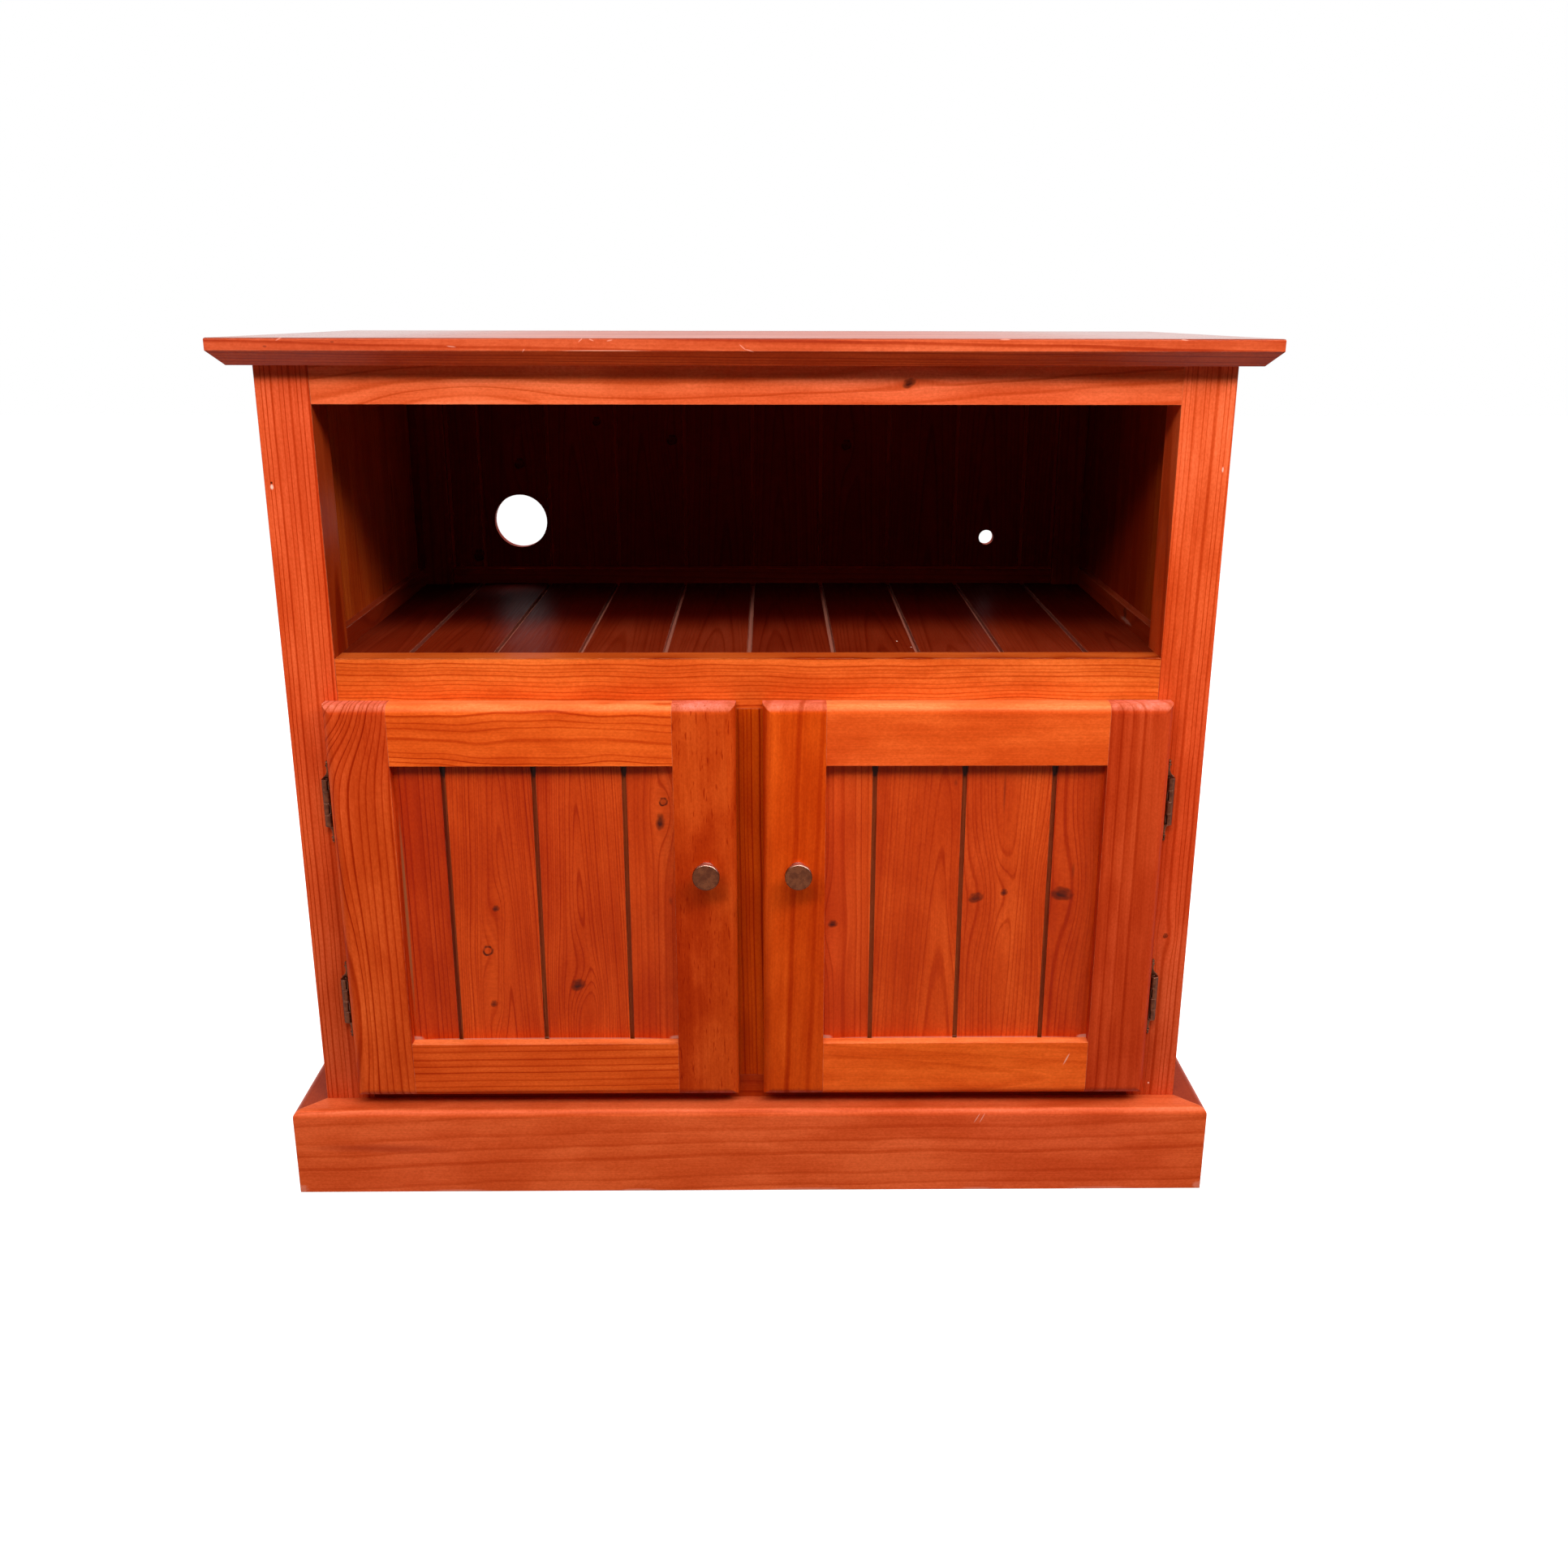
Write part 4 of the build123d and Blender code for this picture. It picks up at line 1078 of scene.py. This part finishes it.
    def panel_knots(self) -> tuple[Knot, ...]:
        """Gives the boards' knots, swirls and smudges."""
        back = self.panel_front
        if self.side == "left":
            return (
                Knot((-0.2573, back, 0.3168), 0.0036, 3.4, 0.8, 0.003, 0.95, 0.45,
                     (1.0, 1.0, 0.9)),
                Knot((-0.2680, back, 0.2703), 0.0052, 3.0, 0.8, 0.004, 0.0, 0.95),
                Knot((-0.2651, back, 0.2108), 0.0036, 3.4, 0.8, 0.003, 0.85, 0.40),
                Knot((-0.1778, back, 0.2319), 0.0062, 3.4, 0.75, 0.007, 1.0, 0.45,
                     (1.25, 1.0, 0.95), (0.0, -0.3, 0.0)),
                Knot((-0.1700, back, 0.2020), 0.006, 2.6, 0.0, -0.007, 0.0, 0.0, slim=0.4),
                Knot((-0.0855, back, 0.4301), 0.0042, 3.0, 0.7, 0.003, 0.35, 0.9),
                Knot((-0.0890, back, 0.4093), 0.0056, 2.8, 0.7, 0.005, 1.0, 0.35,
                     (0.8, 1.0, 1.5)),
            )
        return (
            Knot((0.0838, back, 0.2991), 0.0046, 3.4, 0.8, 0.005, 1.0, 0.35, (1.1, 1.0, 0.85)),
            Knot((0.2283, back, 0.3274), 0.0062, 3.2, 0.6, 0.010, 0.9, 0.5,
                 (1.25, 1.0, 0.8), (0.0, -0.2, 0.0)),
            Knot((0.2568, back, 0.3331), 0.0036, 4.2, 0.7, 0.007, 0.95, 0.4),
            Knot((0.3157, back, 0.3314), 0.0082, 2.8, 0.7, 0.010, 1.0, 0.5,
                 (1.35, 1.0, 0.85), (0.0, 0.25, 0.0)),
        )

    def panel_marks(self) -> tuple[Mark, ...]:
        """Gives the pale finish gathered in the bottom corners, the painted shade at the grooves'
        top ends, and the dark smudges of the panel.
        """
        back = self.panel_front
        middle = self.hand * self.panel_middle
        joints = [middle + step * self.pitch for step in (-1, 0, 1)]
        corners = [middle + step * (self.panel_half - 0.0015) for step in (-1, 1)]
        marks = [Mark((x, back, self.panel_foot + MILLIMETRE), (0.010, 0.004, 0.0035),
                      PALE_BUILD_UP) for x in corners]
        marks.append(Mark((middle, back, self.panel_foot + 0.0005),
                          (self.panel_half, 0.004, 0.0012), PALE_BUILD_UP, 0.45, blur=0.3))
        # Painted shade at the top ends of the grooves, under the top rail.
        marks += [Mark((x, back, self.panel_head), (0.0036, 0.014, 0.019), NEAR_BLACK, 0.9, blur=0.2)
                  for x in joints]
        if self.side == "left":
            marks.append(Mark((corners[0] + MILLIMETRE, back, 0.310), (0.0022, 0.006, 0.130),
                              (0.34, 0.125, 0.045), 0.75, blur=0.6))
        smudges = ([(-0.0803, 0.3245, 0.003, 0.006)] if self.side == "left"
                   else [(0.2038, 0.4494, 0.0025, 0.005), (0.2525, 0.4400, 0.0018, 0.030),
                         (0.3255, 0.3560, 0.0022, 0.012)])
        marks += [Mark((x, back, z), (wide, 0.004, high), SMUDGE, 0.6, blur=0.9)
                  for x, z, wide, high in smudges]
        return tuple(marks)

    def panel_finish(self) -> WoodFinish:
        """Gives the finish of the tongue-and-groove boards behind the frame."""
        groove = self.panel_front + 0.0012
        start = self.hand * self.panel_middle - 2 * self.pitch
        row = BoardRow(RIGHT, start, self.pitch, boards=self.panel_boards())
        return replace(
            PANEL, name=f"{self.side.title()} door panel boards",
            pith=(0.0, self.panel_front, 0.0), seed=47.0 if self.side == "left" else 53.0,
            knots=self.panel_knots(), marks=self.panel_marks(), row=row,
            # Painted shade on the floors of the grooves.
            painted_inner_shade=PaintedInnerShade(BACK, groove, groove + 0.0008, (0.42, 0.72, 1.3),
                          stop=self.panel_front + 0.0060))

    def dress(self, effects: Effects, knob: Material, bronze: Material, steel: Material) -> None:
        """Puts every finish of the door in place.

        Args:
            effects: The shared node groups.
            knob: The knob's finish.
            bronze: The hinges' finish.
            steel: The hidden screws' and strike plates' finish.
        """
        finishes = {**self.stile_finish(), **self.rail_finish(),
                    f"{self.side}_door_panel_boards": self.panel_finish()}
        for node, finish in finishes.items():
            dress(node, finish.build(effects))
        dress(f"{self.side}_knob", knob)
        for part in ("hinge_door_leaves", "hinge_door_screws"):
            dress(f"{self.side}_{part}", bronze)
        for part in ("knob_screw", "strike_plate"):
            dress(f"{self.side}_{part}", steel)


@dataclass
class Top:
    """The bevelled top, glued up from planks, with its blocks and screws."""

    front: float = -0.2422
    plank: float = 0.1
    bevel_head: float = 0.859

    def front_marks(self) -> tuple[Mark, ...]:
        """Gives the pale nicks along the front edge's arrises and two dark spots of painted shade
        for dents.
        """
        nicks = ((-0.4140, 0.8690, 0.0040, -0.5), (-0.1476, 0.8682, 0.0030, -0.7),
                 (-0.1378, 0.8684, 0.0028, 0.4), (-0.1217, 0.8680, 0.0032, -0.2),
                 (-0.0037, 0.8623, 0.0045, 0.7), (-0.1987, 0.8590, 0.0026, -0.9),
                 (-0.2621, 0.8626, 0.0050, 0.1), (0.0027, 0.8594, 0.0050, 0.3),
                 (0.2300, 0.8692, 0.0060, 0.0), (0.3900, 0.8690, 0.0040, 0.1))
        marks = [Mark((x, self.front, z), (long, 0.003, 0.0007), (0.98, 0.40, 0.28), 0.5,
                      (0.0, lean, 0.0)) for x, z, long, lean in nicks]
        marks.append(Mark((-0.128, self.front, 0.8592), (0.045, 0.003, 0.0006),
                          (0.98, 0.40, 0.26), 0.7))
        # Two dark spots of painted shade stand for dents.
        marks += [Mark((x, self.front, z), (0.0022, 0.003, 0.0011), (0.22, 0.020, 0.008), 0.6)
                  for x, z in ((-0.4271, 0.8625), (-0.3672, 0.8664))]
        return tuple(marks)

    def dress(self, effects: Effects, bare: Material, steel: Material) -> None:
        """Puts the top's finishes in place.

        Args:
            effects: The shared node groups.
            bare: The fixing blocks' finish.
            steel: The fixing screws' finish.
        """
        finish = replace(
            RAIL, name="Top planks", pith=(0.0, 0.030, 0.81), seed=61.0,
            early=(0.76, 0.125, 0.046), warm=(0.82, 0.160, 0.056), spacing=0.0052,
            contrast=0.75, wander=0.0016, taper=0.012, edge_wear_and_highlight=0.8, edge_wear_and_highlight_tint=(0.95, 0.36, 0.22),
            gloss=0.10, roughness=0.15, streak=0.10, relief=0.03, dulled=0.36,
            # Painted shade: darker on the upper face, and on the bevel and underside below the
            # front band.
            painted_up_lighting=(0.30, 0.072, 0.042), painted_up_lighting_strength=0.9, marks=self.front_marks(),
            fades=(Fade(DOWN, -self.bevel_head - MILLIMETRE / 2, -self.bevel_head + MILLIMETRE,
                        (1.0, 0.72, 0.36)),),
            row=BoardRow(BACK, self.front, self.plank, 0.2))
        dress("top_panel", finish.build(effects))
        dress("top_fixing_blocks", bare)
        dress("top_fixing_screws", steel)


@dataclass
class Carcass:
    """Posts, rails, mullion, sides and back."""

    frame_front: float = -0.2112
    post_inner: float = 0.400
    board_inner: float = 0.409
    boards_front: float = -0.1887
    boards_left: float = -0.415
    back_face: float = 0.2268
    rear_corner: tuple[float, float] = (-0.637, -0.631)
    rail_face: tuple[float, float] = (-0.2085, -0.2078)

    def posts(self) -> dict[str, WoodFinish]:
        """Gives the four posts' finishes by node name."""
        # Painted light and shade: paler towards the tops for the glare there, darker towards the
        # feet for the lamps' fall-off.
        glow = (Fade(UP, 0.62, 0.84, (1.08, 1.35, 1.9)),
                Fade(DOWN, -0.45, -0.10, (0.82, 0.88, 1.0)))
        left = replace(
            STILE, name="Left front post", pith=(-0.30, self.frame_front + PITH_BEHIND, 0.4),
            seed=67.0, early=(0.80, 0.088, 0.022), warm=(0.84, 0.110, 0.025), spacing=0.0056,
            band=0.3, contrast=0.85, wander=0.0014, taper=0.006, fades=glow,
            marks=(Mark((-0.4434, self.frame_front, 0.7362), (0.0018, 0.002, 0.003),
                        BARE_NICK, 0.9),
                   Mark((-0.4434, self.frame_front, 0.7400), (0.0014, 0.002, 0.0014),
                        NEAR_BLACK, 0.9)),
            # Painted shade on the post's inner face towards the bay.
            painted_inner_shade=PaintedInnerShade(RIGHT, -self.post_inner - MILLIMETRE, -self.post_inner,
                          (0.42, 0.34, 0.16)))
        right = replace(
            left, name="Right front post", pith=(0.56, self.frame_front + PITH_BEHIND, 0.4),
            seed=71.0, contrast=0.7,
            # Painted shade on the post's inner face towards the bay.
            painted_inner_shade=PaintedInnerShade(LEFT, -self.post_inner - MILLIMETRE, -self.post_inner,
                          (0.86, 0.80, 0.60)),
            marks=(Mark((0.4228, self.frame_front, 0.1103), (0.0012, 0.002, 0.0012),
                        BARE_NICK, 0.9),
                   Mark((0.4436, self.frame_front, 0.7525), (0.0010, 0.002, 0.0030),
                        BARE_NICK, 0.7)),
            knots=(Knot((0.4275, self.frame_front, 0.2801), 0.0026, 3.0, 0.8, 0.002, 0.8, 0.6),))
        found = {"front_post_left": left, "front_post_right": right}
        for side, front, inwards, seed in (("left", left, 1.0, 73.0), ("right", right, -1.0, 79.0)):
            # Painted shade: the rear posts darken towards the bay's back corner.
            shade = Fade((inwards, -1.0, 0.0), *self.rear_corner, (0.22, 0.07, 0.06))
            found[f"rear_post_{side}"] = replace(
                front, name=f"{side.title()} rear post", seed=seed, marks=(), knots=(), gloss=0.0,
                edge_wear_and_highlight=0.0, fades=(shade,), painted_inner_shade=None)
        return found

    def rails(self) -> dict[str, WoodFinish]:
        """Gives the front rails' and the mullion's finishes by node name."""
        front = self.frame_front
        return {
            "top_front_rail": replace(
                RAIL, name="Top rail", pith=(0.0, front + 0.05, 0.90), seed=83.0, spacing=0.013,
                early=(0.90, 0.150, 0.050), warm=(0.95, 0.185, 0.058), band=0.6, contrast=0.55,
                wander=0.0035, ripple=0.001, taper=0.05,
                knots=(Knot((0.148, front, 0.8304), 0.0050, 3.0, 0.8, 0.004, 1.0, 0.5,
                            (1.25, 1.0, 0.75), (0.0, -0.35, 0.0)),
                       Knot((-0.27, front, 0.815), 0.008, 3.0, 0.0, 0.02, 0.0, 0.0, slim=0.25))),
            "mid_front_rail": replace(
                RAIL, name="Middle rail", pith=(0.0, front + PITH_BEHIND, 0.40), seed=89.0,
                early=(0.84, 0.128, 0.018), warm=(0.90, 0.160, 0.022), spacing=0.0046,
                band=0.35, contrast=0.95, wander=0.0014, ripple=0.0014, taper=0.006,
                painted_up_lighting_strength=0.0,
                fades=(Fade(RIGHT, -0.05, 0.35, (1.04, 1.22, 1.4)),
                       # Painted shade on the rail's top face and top arris.
                       Fade(UP, 0.5710, 0.5724, (0.62, 0.60, 0.55)))),
            "bottom_front_rail": replace(
                # The bottom rail's dark colour is painted shade of the gap under the doors.
                RAIL, name="Bottom rail", pith=(0.0, front + PITH_BEHIND, 0.0), seed=97.0,
                early=(0.36, 0.030, 0.003), warm=(0.42, 0.042, 0.004), spacing=0.009,
                painted_up_lighting_strength=0.0),
            "centre_mullion": replace(
                STILE, name="Mullion", pith=(-0.12, front + PITH_BEHIND, 0.3), seed=101.0,
                early=(0.47, 0.043, 0.001), warm=(0.53, 0.056, 0.001), spacing=0.0052,
                band=0.3, contrast=1.0),
        }

    def sides(self) -> dict[str, WoodFinish]:
        """Gives the framed and boarded sides' finishes by node name."""
        found = {}
        # Painted light and shade of the bay's walls: the inner faces of boards and rails are
        # darkened, and the walls change towards the back.
        for side, hand, seed, painted_light_towards_back in (("left", -1, 103.0, (1.15, 0.95, 0.90)),
                                      ("right", 1, 107.0, (0.62, 0.32, 0.35))):
            inwards = (-hand, 0.0, 0.0)
            boards = PaintedInnerShade(inwards, -self.board_inner - MILLIMETRE, -self.board_inner,
                            (0.62, 0.92, 0.85))
            rails = PaintedInnerShade(inwards, -self.post_inner - MILLIMETRE,
                           -self.post_inner + MILLIMETRE, (0.40, 0.22, 0.12))
            found[f"side_boards_{side}"] = replace(
                PANEL, name=f"{side.title()} side boards", pith=(hand * 0.395, 0.0, 0.0),
                seed=seed, gloss=0.012, roughness=0.6, painted_inner_shade=boards,
                fades=(Fade(BACK, -0.17, -0.02, painted_light_towards_back),),
                row=BoardRow(BACK, self.boards_front, BOARD_COVER))
            for level, height, turn in (("top", 0.60, 3.0), ("bottom", 0.30, 6.0)):
                found[f"side_{level}_rail_{side}"] = replace(
                    RAIL, name=f"{side.title()} side {level} rail", grain=Grain.Y,
                    pith=(hand * 0.36, 0.0, height), seed=seed + turn, spacing=0.008,
                    gloss=0.03, painted_inner_shade=rails)
        return found

    def back(self) -> dict[str, WoodFinish]:
        """Gives the back's finishes by node name."""
        face = self.back_face
        places = ((-0.2838, 0.7157, 0.006), (-0.3389, 0.604, 0.007), (-0.1882, 0.7658, 0.005),
                  (-0.0976, 0.7438, 0.006), (0.1143, 0.7382, 0.006))
        boards = replace(
            PANEL, name="Back boards", pith=(0.0, 0.255, 0.0), seed=109.0,
            early=(0.42, 0.032, 0.006), warm=(0.48, 0.045, 0.007), roughness=0.5, gloss=0.02,
            row=BoardRow(RIGHT, self.boards_left, BOARD_COVER),
            # Painted shade on the boards' faces towards the bay.
            painted_inner_shade=PaintedInnerShade(FORWARDS, -face - MILLIMETRE, -face, (0.45, 0.22, 0.30)),
            knots=tuple(Knot((x, face, z), size) for x, z, size in places))
        rail = replace(
            RAIL, name="Back rails", pith=(0.0, 0.12, 0.30), seed=113.0, gloss=0.02,
            early=(0.42, 0.036, 0.006), warm=(0.48, 0.048, 0.008), painted_up_lighting_strength=0.0,
            # Painted shade on the rails' faces towards the bay.
            painted_inner_shade=PaintedInnerShade(FORWARDS, *self.rail_face, (0.55, 0.35, 0.35)))
        batten = replace(rail, name="Back battens", grain=Grain.Z, pith=(0.0, 0.3, 0.0))
        found = {name: boards for name in ("back_boards", "back_board_large_hole",
                                           "back_board_small_hole")}
        found.update({f"back_{name}_rail": rail for name in ("top", "mid", "bottom")})
        found["back_battens"] = batten
        return found

    def dress(self, effects: Effects) -> None:
        """Puts the carcass's finishes in place, one material for each finish.

        Args:
            effects: The shared node groups.
        """
        made: dict[str, Material] = {}
        for found in (self.posts(), self.rails(), self.sides(), self.back()):
            for node, finish in found.items():
                if finish.name not in made:
                    made[finish.name] = finish.build(effects)
                dress(node, made[finish.name])


@dataclass
class Shelving:
    """The bay's shelf, the cupboard's floor, their ledgers and edge strips."""

    joint: float = -0.415
    shelf_top: float = 0.5725
    strip_inner: float = 0.400

    def dress(self, effects: Effects, bare: Material) -> None:
        """Puts the shelf's and the floor's finishes in place.

        Args:
            effects: The shared node groups.
            bare: The ledgers' finish.
        """
        # The pale lines along the joints are a painted highlight on the lit groove edges.
        row = BoardRow(RIGHT, self.joint, BOARD_COVER, 0.4, 0.10, edge=(0.62, 0.22, 0.15))
        specks = tuple(Mark((x, y, self.shelf_top), (0.0013, 0.0013, 0.002), (0.9, 0.7, 0.6), 0.9)
                       for x, y in ((0.1497, -0.1323), (0.162, -0.160)))
        shelf = replace(
            PANEL, name="Shelf boards", grain=Grain.Y, pith=(0.0, 0.0, 0.545), seed=127.0,
            early=(0.155, 0.014, 0.004), warm=(0.190, 0.019, 0.005), row=row, gloss=0.010,
            streak=0.03, cloud=0.10, relief=0.01, edge_wear_and_highlight=0.7, edge_wear_and_highlight_tint=(0.55, 0.22, 0.14),
            # Painted shade: darker towards the back of the bay, on the shelf and on the cupboard
            # floor copied from it.
            fades=(Fade(BACK, -0.10, 0.02, (0.26, 0.08, 0.07)),), marks=specks)
        dress("shelf_boards", shelf.build(effects))
        deck = replace(shelf, name="Cupboard floor boards", pith=(0.0, 0.0, 0.10), seed=131.0,
                       marks=())
        dress("deck_boards", deck.build(effects))
        strips = replace(
            RAIL, name="Bay edge strips", grain=Grain.Y, pith=(0.0, 0.0, 0.50), seed=137.0,
            early=(0.24, 0.018, 0.003), warm=(0.28, 0.026, 0.004), face=Face.SIDE,
            # Painted highlight on the strips' upward faces.
            painted_up_lighting_strength=0.3, painted_up_lighting=(0.38, 0.08, 0.04), edge_wear_and_highlight=0.8, edge_wear_and_highlight_tint=(0.5, 0.22, 0.15),
            knots=(Knot((self.strip_inner, -0.0536, 0.5854), 0.006),),
            marks=(Mark((self.strip_inner, -0.060, 0.5790), (0.004, 0.030, 0.0030),
                        (0.50, 0.26, 0.20), 0.4, tear=1.2),))
        dress("bay_side_strips", strips.build(effects))
        dress("floor_ledgers", bare)


@dataclass
class Plinth:
    """The rounded plinth round the foot and its glue blocks."""

    front: float = -0.2402
    half_width: float = 0.479

    def front_marks(self) -> tuple[Mark, ...]:
        """Gives the scuffs of the foot and the scratches of the front."""
        scuffs = [Mark((self.half_width * side, self.front, 0.004), (0.010, 0.010, 0.006),
                       (0.95, 0.36, 0.24), 0.4, tear=0.9) for side in (-1, 1)]
        scuffs += [Mark((x, self.front, 0.0012), (wide, 0.006, 0.0016), (0.92, 0.34, 0.22), 0.4,
                        tear=0.9)
                   for x, wide in ((-0.31, 0.035), (-0.12, 0.022), (0.06, 0.050), (0.24, 0.020),
                                   (0.37, 0.040))]
        scratches = [Mark((x, self.front + 0.002, 0.0855), (0.0006, 0.008, 0.0075),
                          (0.98, 0.50, 0.38), 0.6, (0.0, lean, 0.0))
                     for x, lean in ((0.2370, 0.5), (0.2425, 0.45))]
        tongue = Mark((-0.388, self.front, 0.052), (0.100, 0.010, 0.0075), (0.42, 0.032, 0.008),
                      0.65, (0.0, 0.02, 0.0), 0.9, 0.5)
        return (*scuffs, *scratches, tongue)

    def dress(self, effects: Effects, bare: Material) -> None:
        """Puts the plinth's finishes in place.

        Args:
            effects: The shared node groups.
            bare: The glue blocks' finish.
        """
        face = replace(
            RAIL, name="Plinth front", pith=(0.05, self.front + 0.02, 0.16), seed=139.0,
            early=(0.84, 0.112, 0.030), warm=(0.89, 0.140, 0.035), spacing=0.017, band=0.6,
            contrast=0.48, wander=0.005, ripple=0.0012, taper=0.03, cloud=0.12, streak=0.0,
            # Painted highlight on the upward round-over.
            fleck=0.06, painted_up_lighting=(0.98, 0.22, 0.10), painted_up_lighting_strength=0.6,
            # Painted shade on the plinth's top face, under the doors.
            fades=(Fade(UP, 0.0945, 0.0958, (0.70, 0.60, 0.45)),))
        dress("plinth_front", replace(face, marks=self.front_marks()).build(effects))
        for side, hand in (("left", -1), ("right", 1)):
            end = replace(face, name=f"Plinth {side} side", grain=Grain.Y,
                          pith=(hand * 0.455, 0.0, 0.16), seed=149.0 + hand,
                          # Painted shade on the side pieces' upward faces.
                          painted_up_lighting=(0.34, 0.045, 0.016), painted_up_lighting_strength=0.9)
            dress(f"plinth_{side}", end.build(effects))
        dress("plinth_glue_blocks", bare)


@dataclass
class Hinges:
    """The frame halves of the four wrap hinges, with their pins and screws."""

    nodes: tuple[str, ...] = ("left_hinge_frame_leaves", "right_hinge_frame_leaves",
                              "hinge_pins", "hinge_frame_screws")

    def dress(self, bronze: Material) -> None:
        """Puts the bronze on every piece."""
        for node in self.nodes:
            dress(node, bronze)


@dataclass
class Catches:
    """The magnetic catches below the middle rail."""

    metal: tuple[str, ...] = ("catch_magnets", "catch_screws")

    def dress(self, steel: Material, plastic: Material) -> None:
        """Puts the catches' finishes in place.

        Args:
            steel: The magnets' and screws' finish.
            plastic: The cases' finish.
        """
        for node in self.metal:
            dress(node, steel)
        dress("catch_cases", plastic)


@dataclass(frozen=True)
class Lamp:
    """One rectangular lamp aimed at a point."""

    name: str
    place: Place
    target: Place
    size: tuple[float, float]
    power: float

    def build(self) -> None:
        """Adds the lamp."""
        data = bpy.data.lights.new(self.name, "AREA")
        data.shape = "RECTANGLE"
        data.size, data.size_y = self.size
        data.energy = self.power
        lamp = bpy.data.objects.new(self.name, data)
        lamp.location = self.place
        aim = Vector(self.target) - Vector(self.place)
        lamp.rotation_euler = aim.to_track_quat("-Z", "Y").to_euler()
        bpy.context.scene.collection.objects.link(lamp)


@dataclass
class Studio:
    """The plain pale floor, the soft lamps, the surroundings and the camera."""

    camera_place: Place = (0.01827, -1.6191, 0.89352)
    camera_pitch: float = 17.6696
    camera_yaw: float = 0.6425
    camera_roll: float = 0.0965
    lens: float = 34.1236
    sensor: float = 36.0
    ambient: float = 0.045
    floor_size: float = 24.0
    floor_gap: float = 0.0006
    lamps: tuple[Lamp, ...] = (
        Lamp("Key strip", (0.35, -1.50, 1.92), (0.0, -0.22, 0.55), (4.6, 0.36), 69.0),
        Lamp("Hard strip", (0.35, -1.50, 2.28), (0.0, -0.22, 0.60), (4.6, 0.05), 9.0),
        Lamp("High strip", (0.30, -1.20, 2.60), (0.0, -0.20, 0.60), (3.6, 0.05), 11.5),
        Lamp("Left fill", (-2.3, 0.35, 1.5), (0.0, 0.05, 0.45), (1.2, 1.2), 22.0),
        Lamp("Right fill", (2.3, 0.35, 1.5), (0.0, 0.05, 0.45), (1.2, 1.2), 22.0),
        Lamp("Back fill", (0.0, 1.9, 2.4), (0.0, 0.2, 0.45), (1.4, 1.0), 46.0),
    )

    def build(self) -> None:
        """Makes the floor, the lamps, the surroundings and the camera."""
        self._floor()
        self._surroundings()
        for lamp in self.lamps:
            lamp.build()
        self._camera()

    @staticmethod
    def _seen_directly(g: Graph) -> Socket:
        """Gives 1 for camera, glossy and transmission rays, else 0."""
        rays = g.node("LightPath").outputs
        first = g.math("MAXIMUM", rays["Is Camera Ray"], rays["Is Glossy Ray"])
        return g.math("MAXIMUM", first, rays["Is Transmission Ray"])

    def _floor(self) -> None:
        """A large pale floor that keeps a light shadow round the plinth."""
        bpy.ops.object.select_all(action="DESELECT")
        bpy.ops.mesh.primitive_plane_add(size=self.floor_size,
                                         location=(0.0, 0.0, -self.floor_gap))
        floor = bpy.context.object
        floor.name = "studio_floor"
        bpy.ops.object.transform_apply(location=True, rotation=True, scale=True)
        material = bpy.data.materials.new("Studio floor")
        g = Graph.of(material)
        here = g.node("TexCoord").outputs["Object"]
        away = g.ramp(g.vector("LENGTH", here), 0.7, 1.3, 0.86, 1.0)
        glow = g.node("Emission", {"Color": WHITE, "Strength": away})
        pale = g.node("BsdfDiffuse", {"Color": (0.5, 0.5, 0.5)})
        seen = g.node("AddShader", {0: glow.outputs[0], 1: pale.outputs[0]})
        bounce = g.node("BsdfDiffuse", {"Color": (0.16, 0.16, 0.16)})
        direct = self._seen_directly(g)
        g.output(g.node("MixShader", {0: direct, 1: bounce.outputs[0], 2: seen.outputs[0]}))
        floor.data.materials.append(material)

    def _surroundings(self) -> None:
        """White where seen or mirrored, and a low even light elsewhere."""
        world = bpy.data.worlds.new("Studio surroundings")
        g = Graph.of(world)
        level = g.math("MAXIMUM", self._seen_directly(g), self.ambient)
        g.output(g.node("Background", {"Color": WHITE, "Strength": level}), "OutputWorld")
        bpy.context.scene.world = world

    def _camera(self) -> None:
        """Adds the camera at its fitted place."""
        data = bpy.data.cameras.new("Studio camera")
        data.sensor_fit = "HORIZONTAL"
        data.sensor_width = self.sensor
        data.lens = self.lens
        camera = bpy.data.objects.new("Studio camera", data)
        turn = (Matrix.Rotation(math.radians(-self.camera_yaw), 4, "Z")
                @ Matrix.Rotation(math.radians(90.0 - self.camera_pitch), 4, "X")
                @ Matrix.Rotation(math.radians(self.camera_roll), 4, "Z"))
        camera.matrix_world = Matrix.Translation(self.camera_place) @ turn
        bpy.context.scene.collection.objects.link(camera)
        bpy.context.scene.camera = camera


def main() -> None:
    """Builds the studio and dresses every sub-assembly."""
    logging.basicConfig(level=logging.INFO, format="%(message)s")
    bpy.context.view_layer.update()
    bpy.context.scene.view_settings.view_transform = "Standard"
    effects = Effects()
    bare = BareWoodFinish().build(effects)
    bronze = ANTIQUE_BRONZE.build(effects)
    knob = KNOB_BRONZE.build(effects)
    steel = ZINC_PLATE.build(effects)
    plastic = PlasticFinish().build(effects)
    Carcass().dress(effects)
    Top().dress(effects, bare, steel)
    Shelving().dress(effects, bare)
    Plinth().dress(effects, bare)
    for side in ("left", "right"):
        Door(side).dress(effects, knob, bronze, steel)
    Hinges().dress(bronze)
    Catches().dress(steel, plastic)
    Studio().build()


if __name__ == "__main__":
    main()
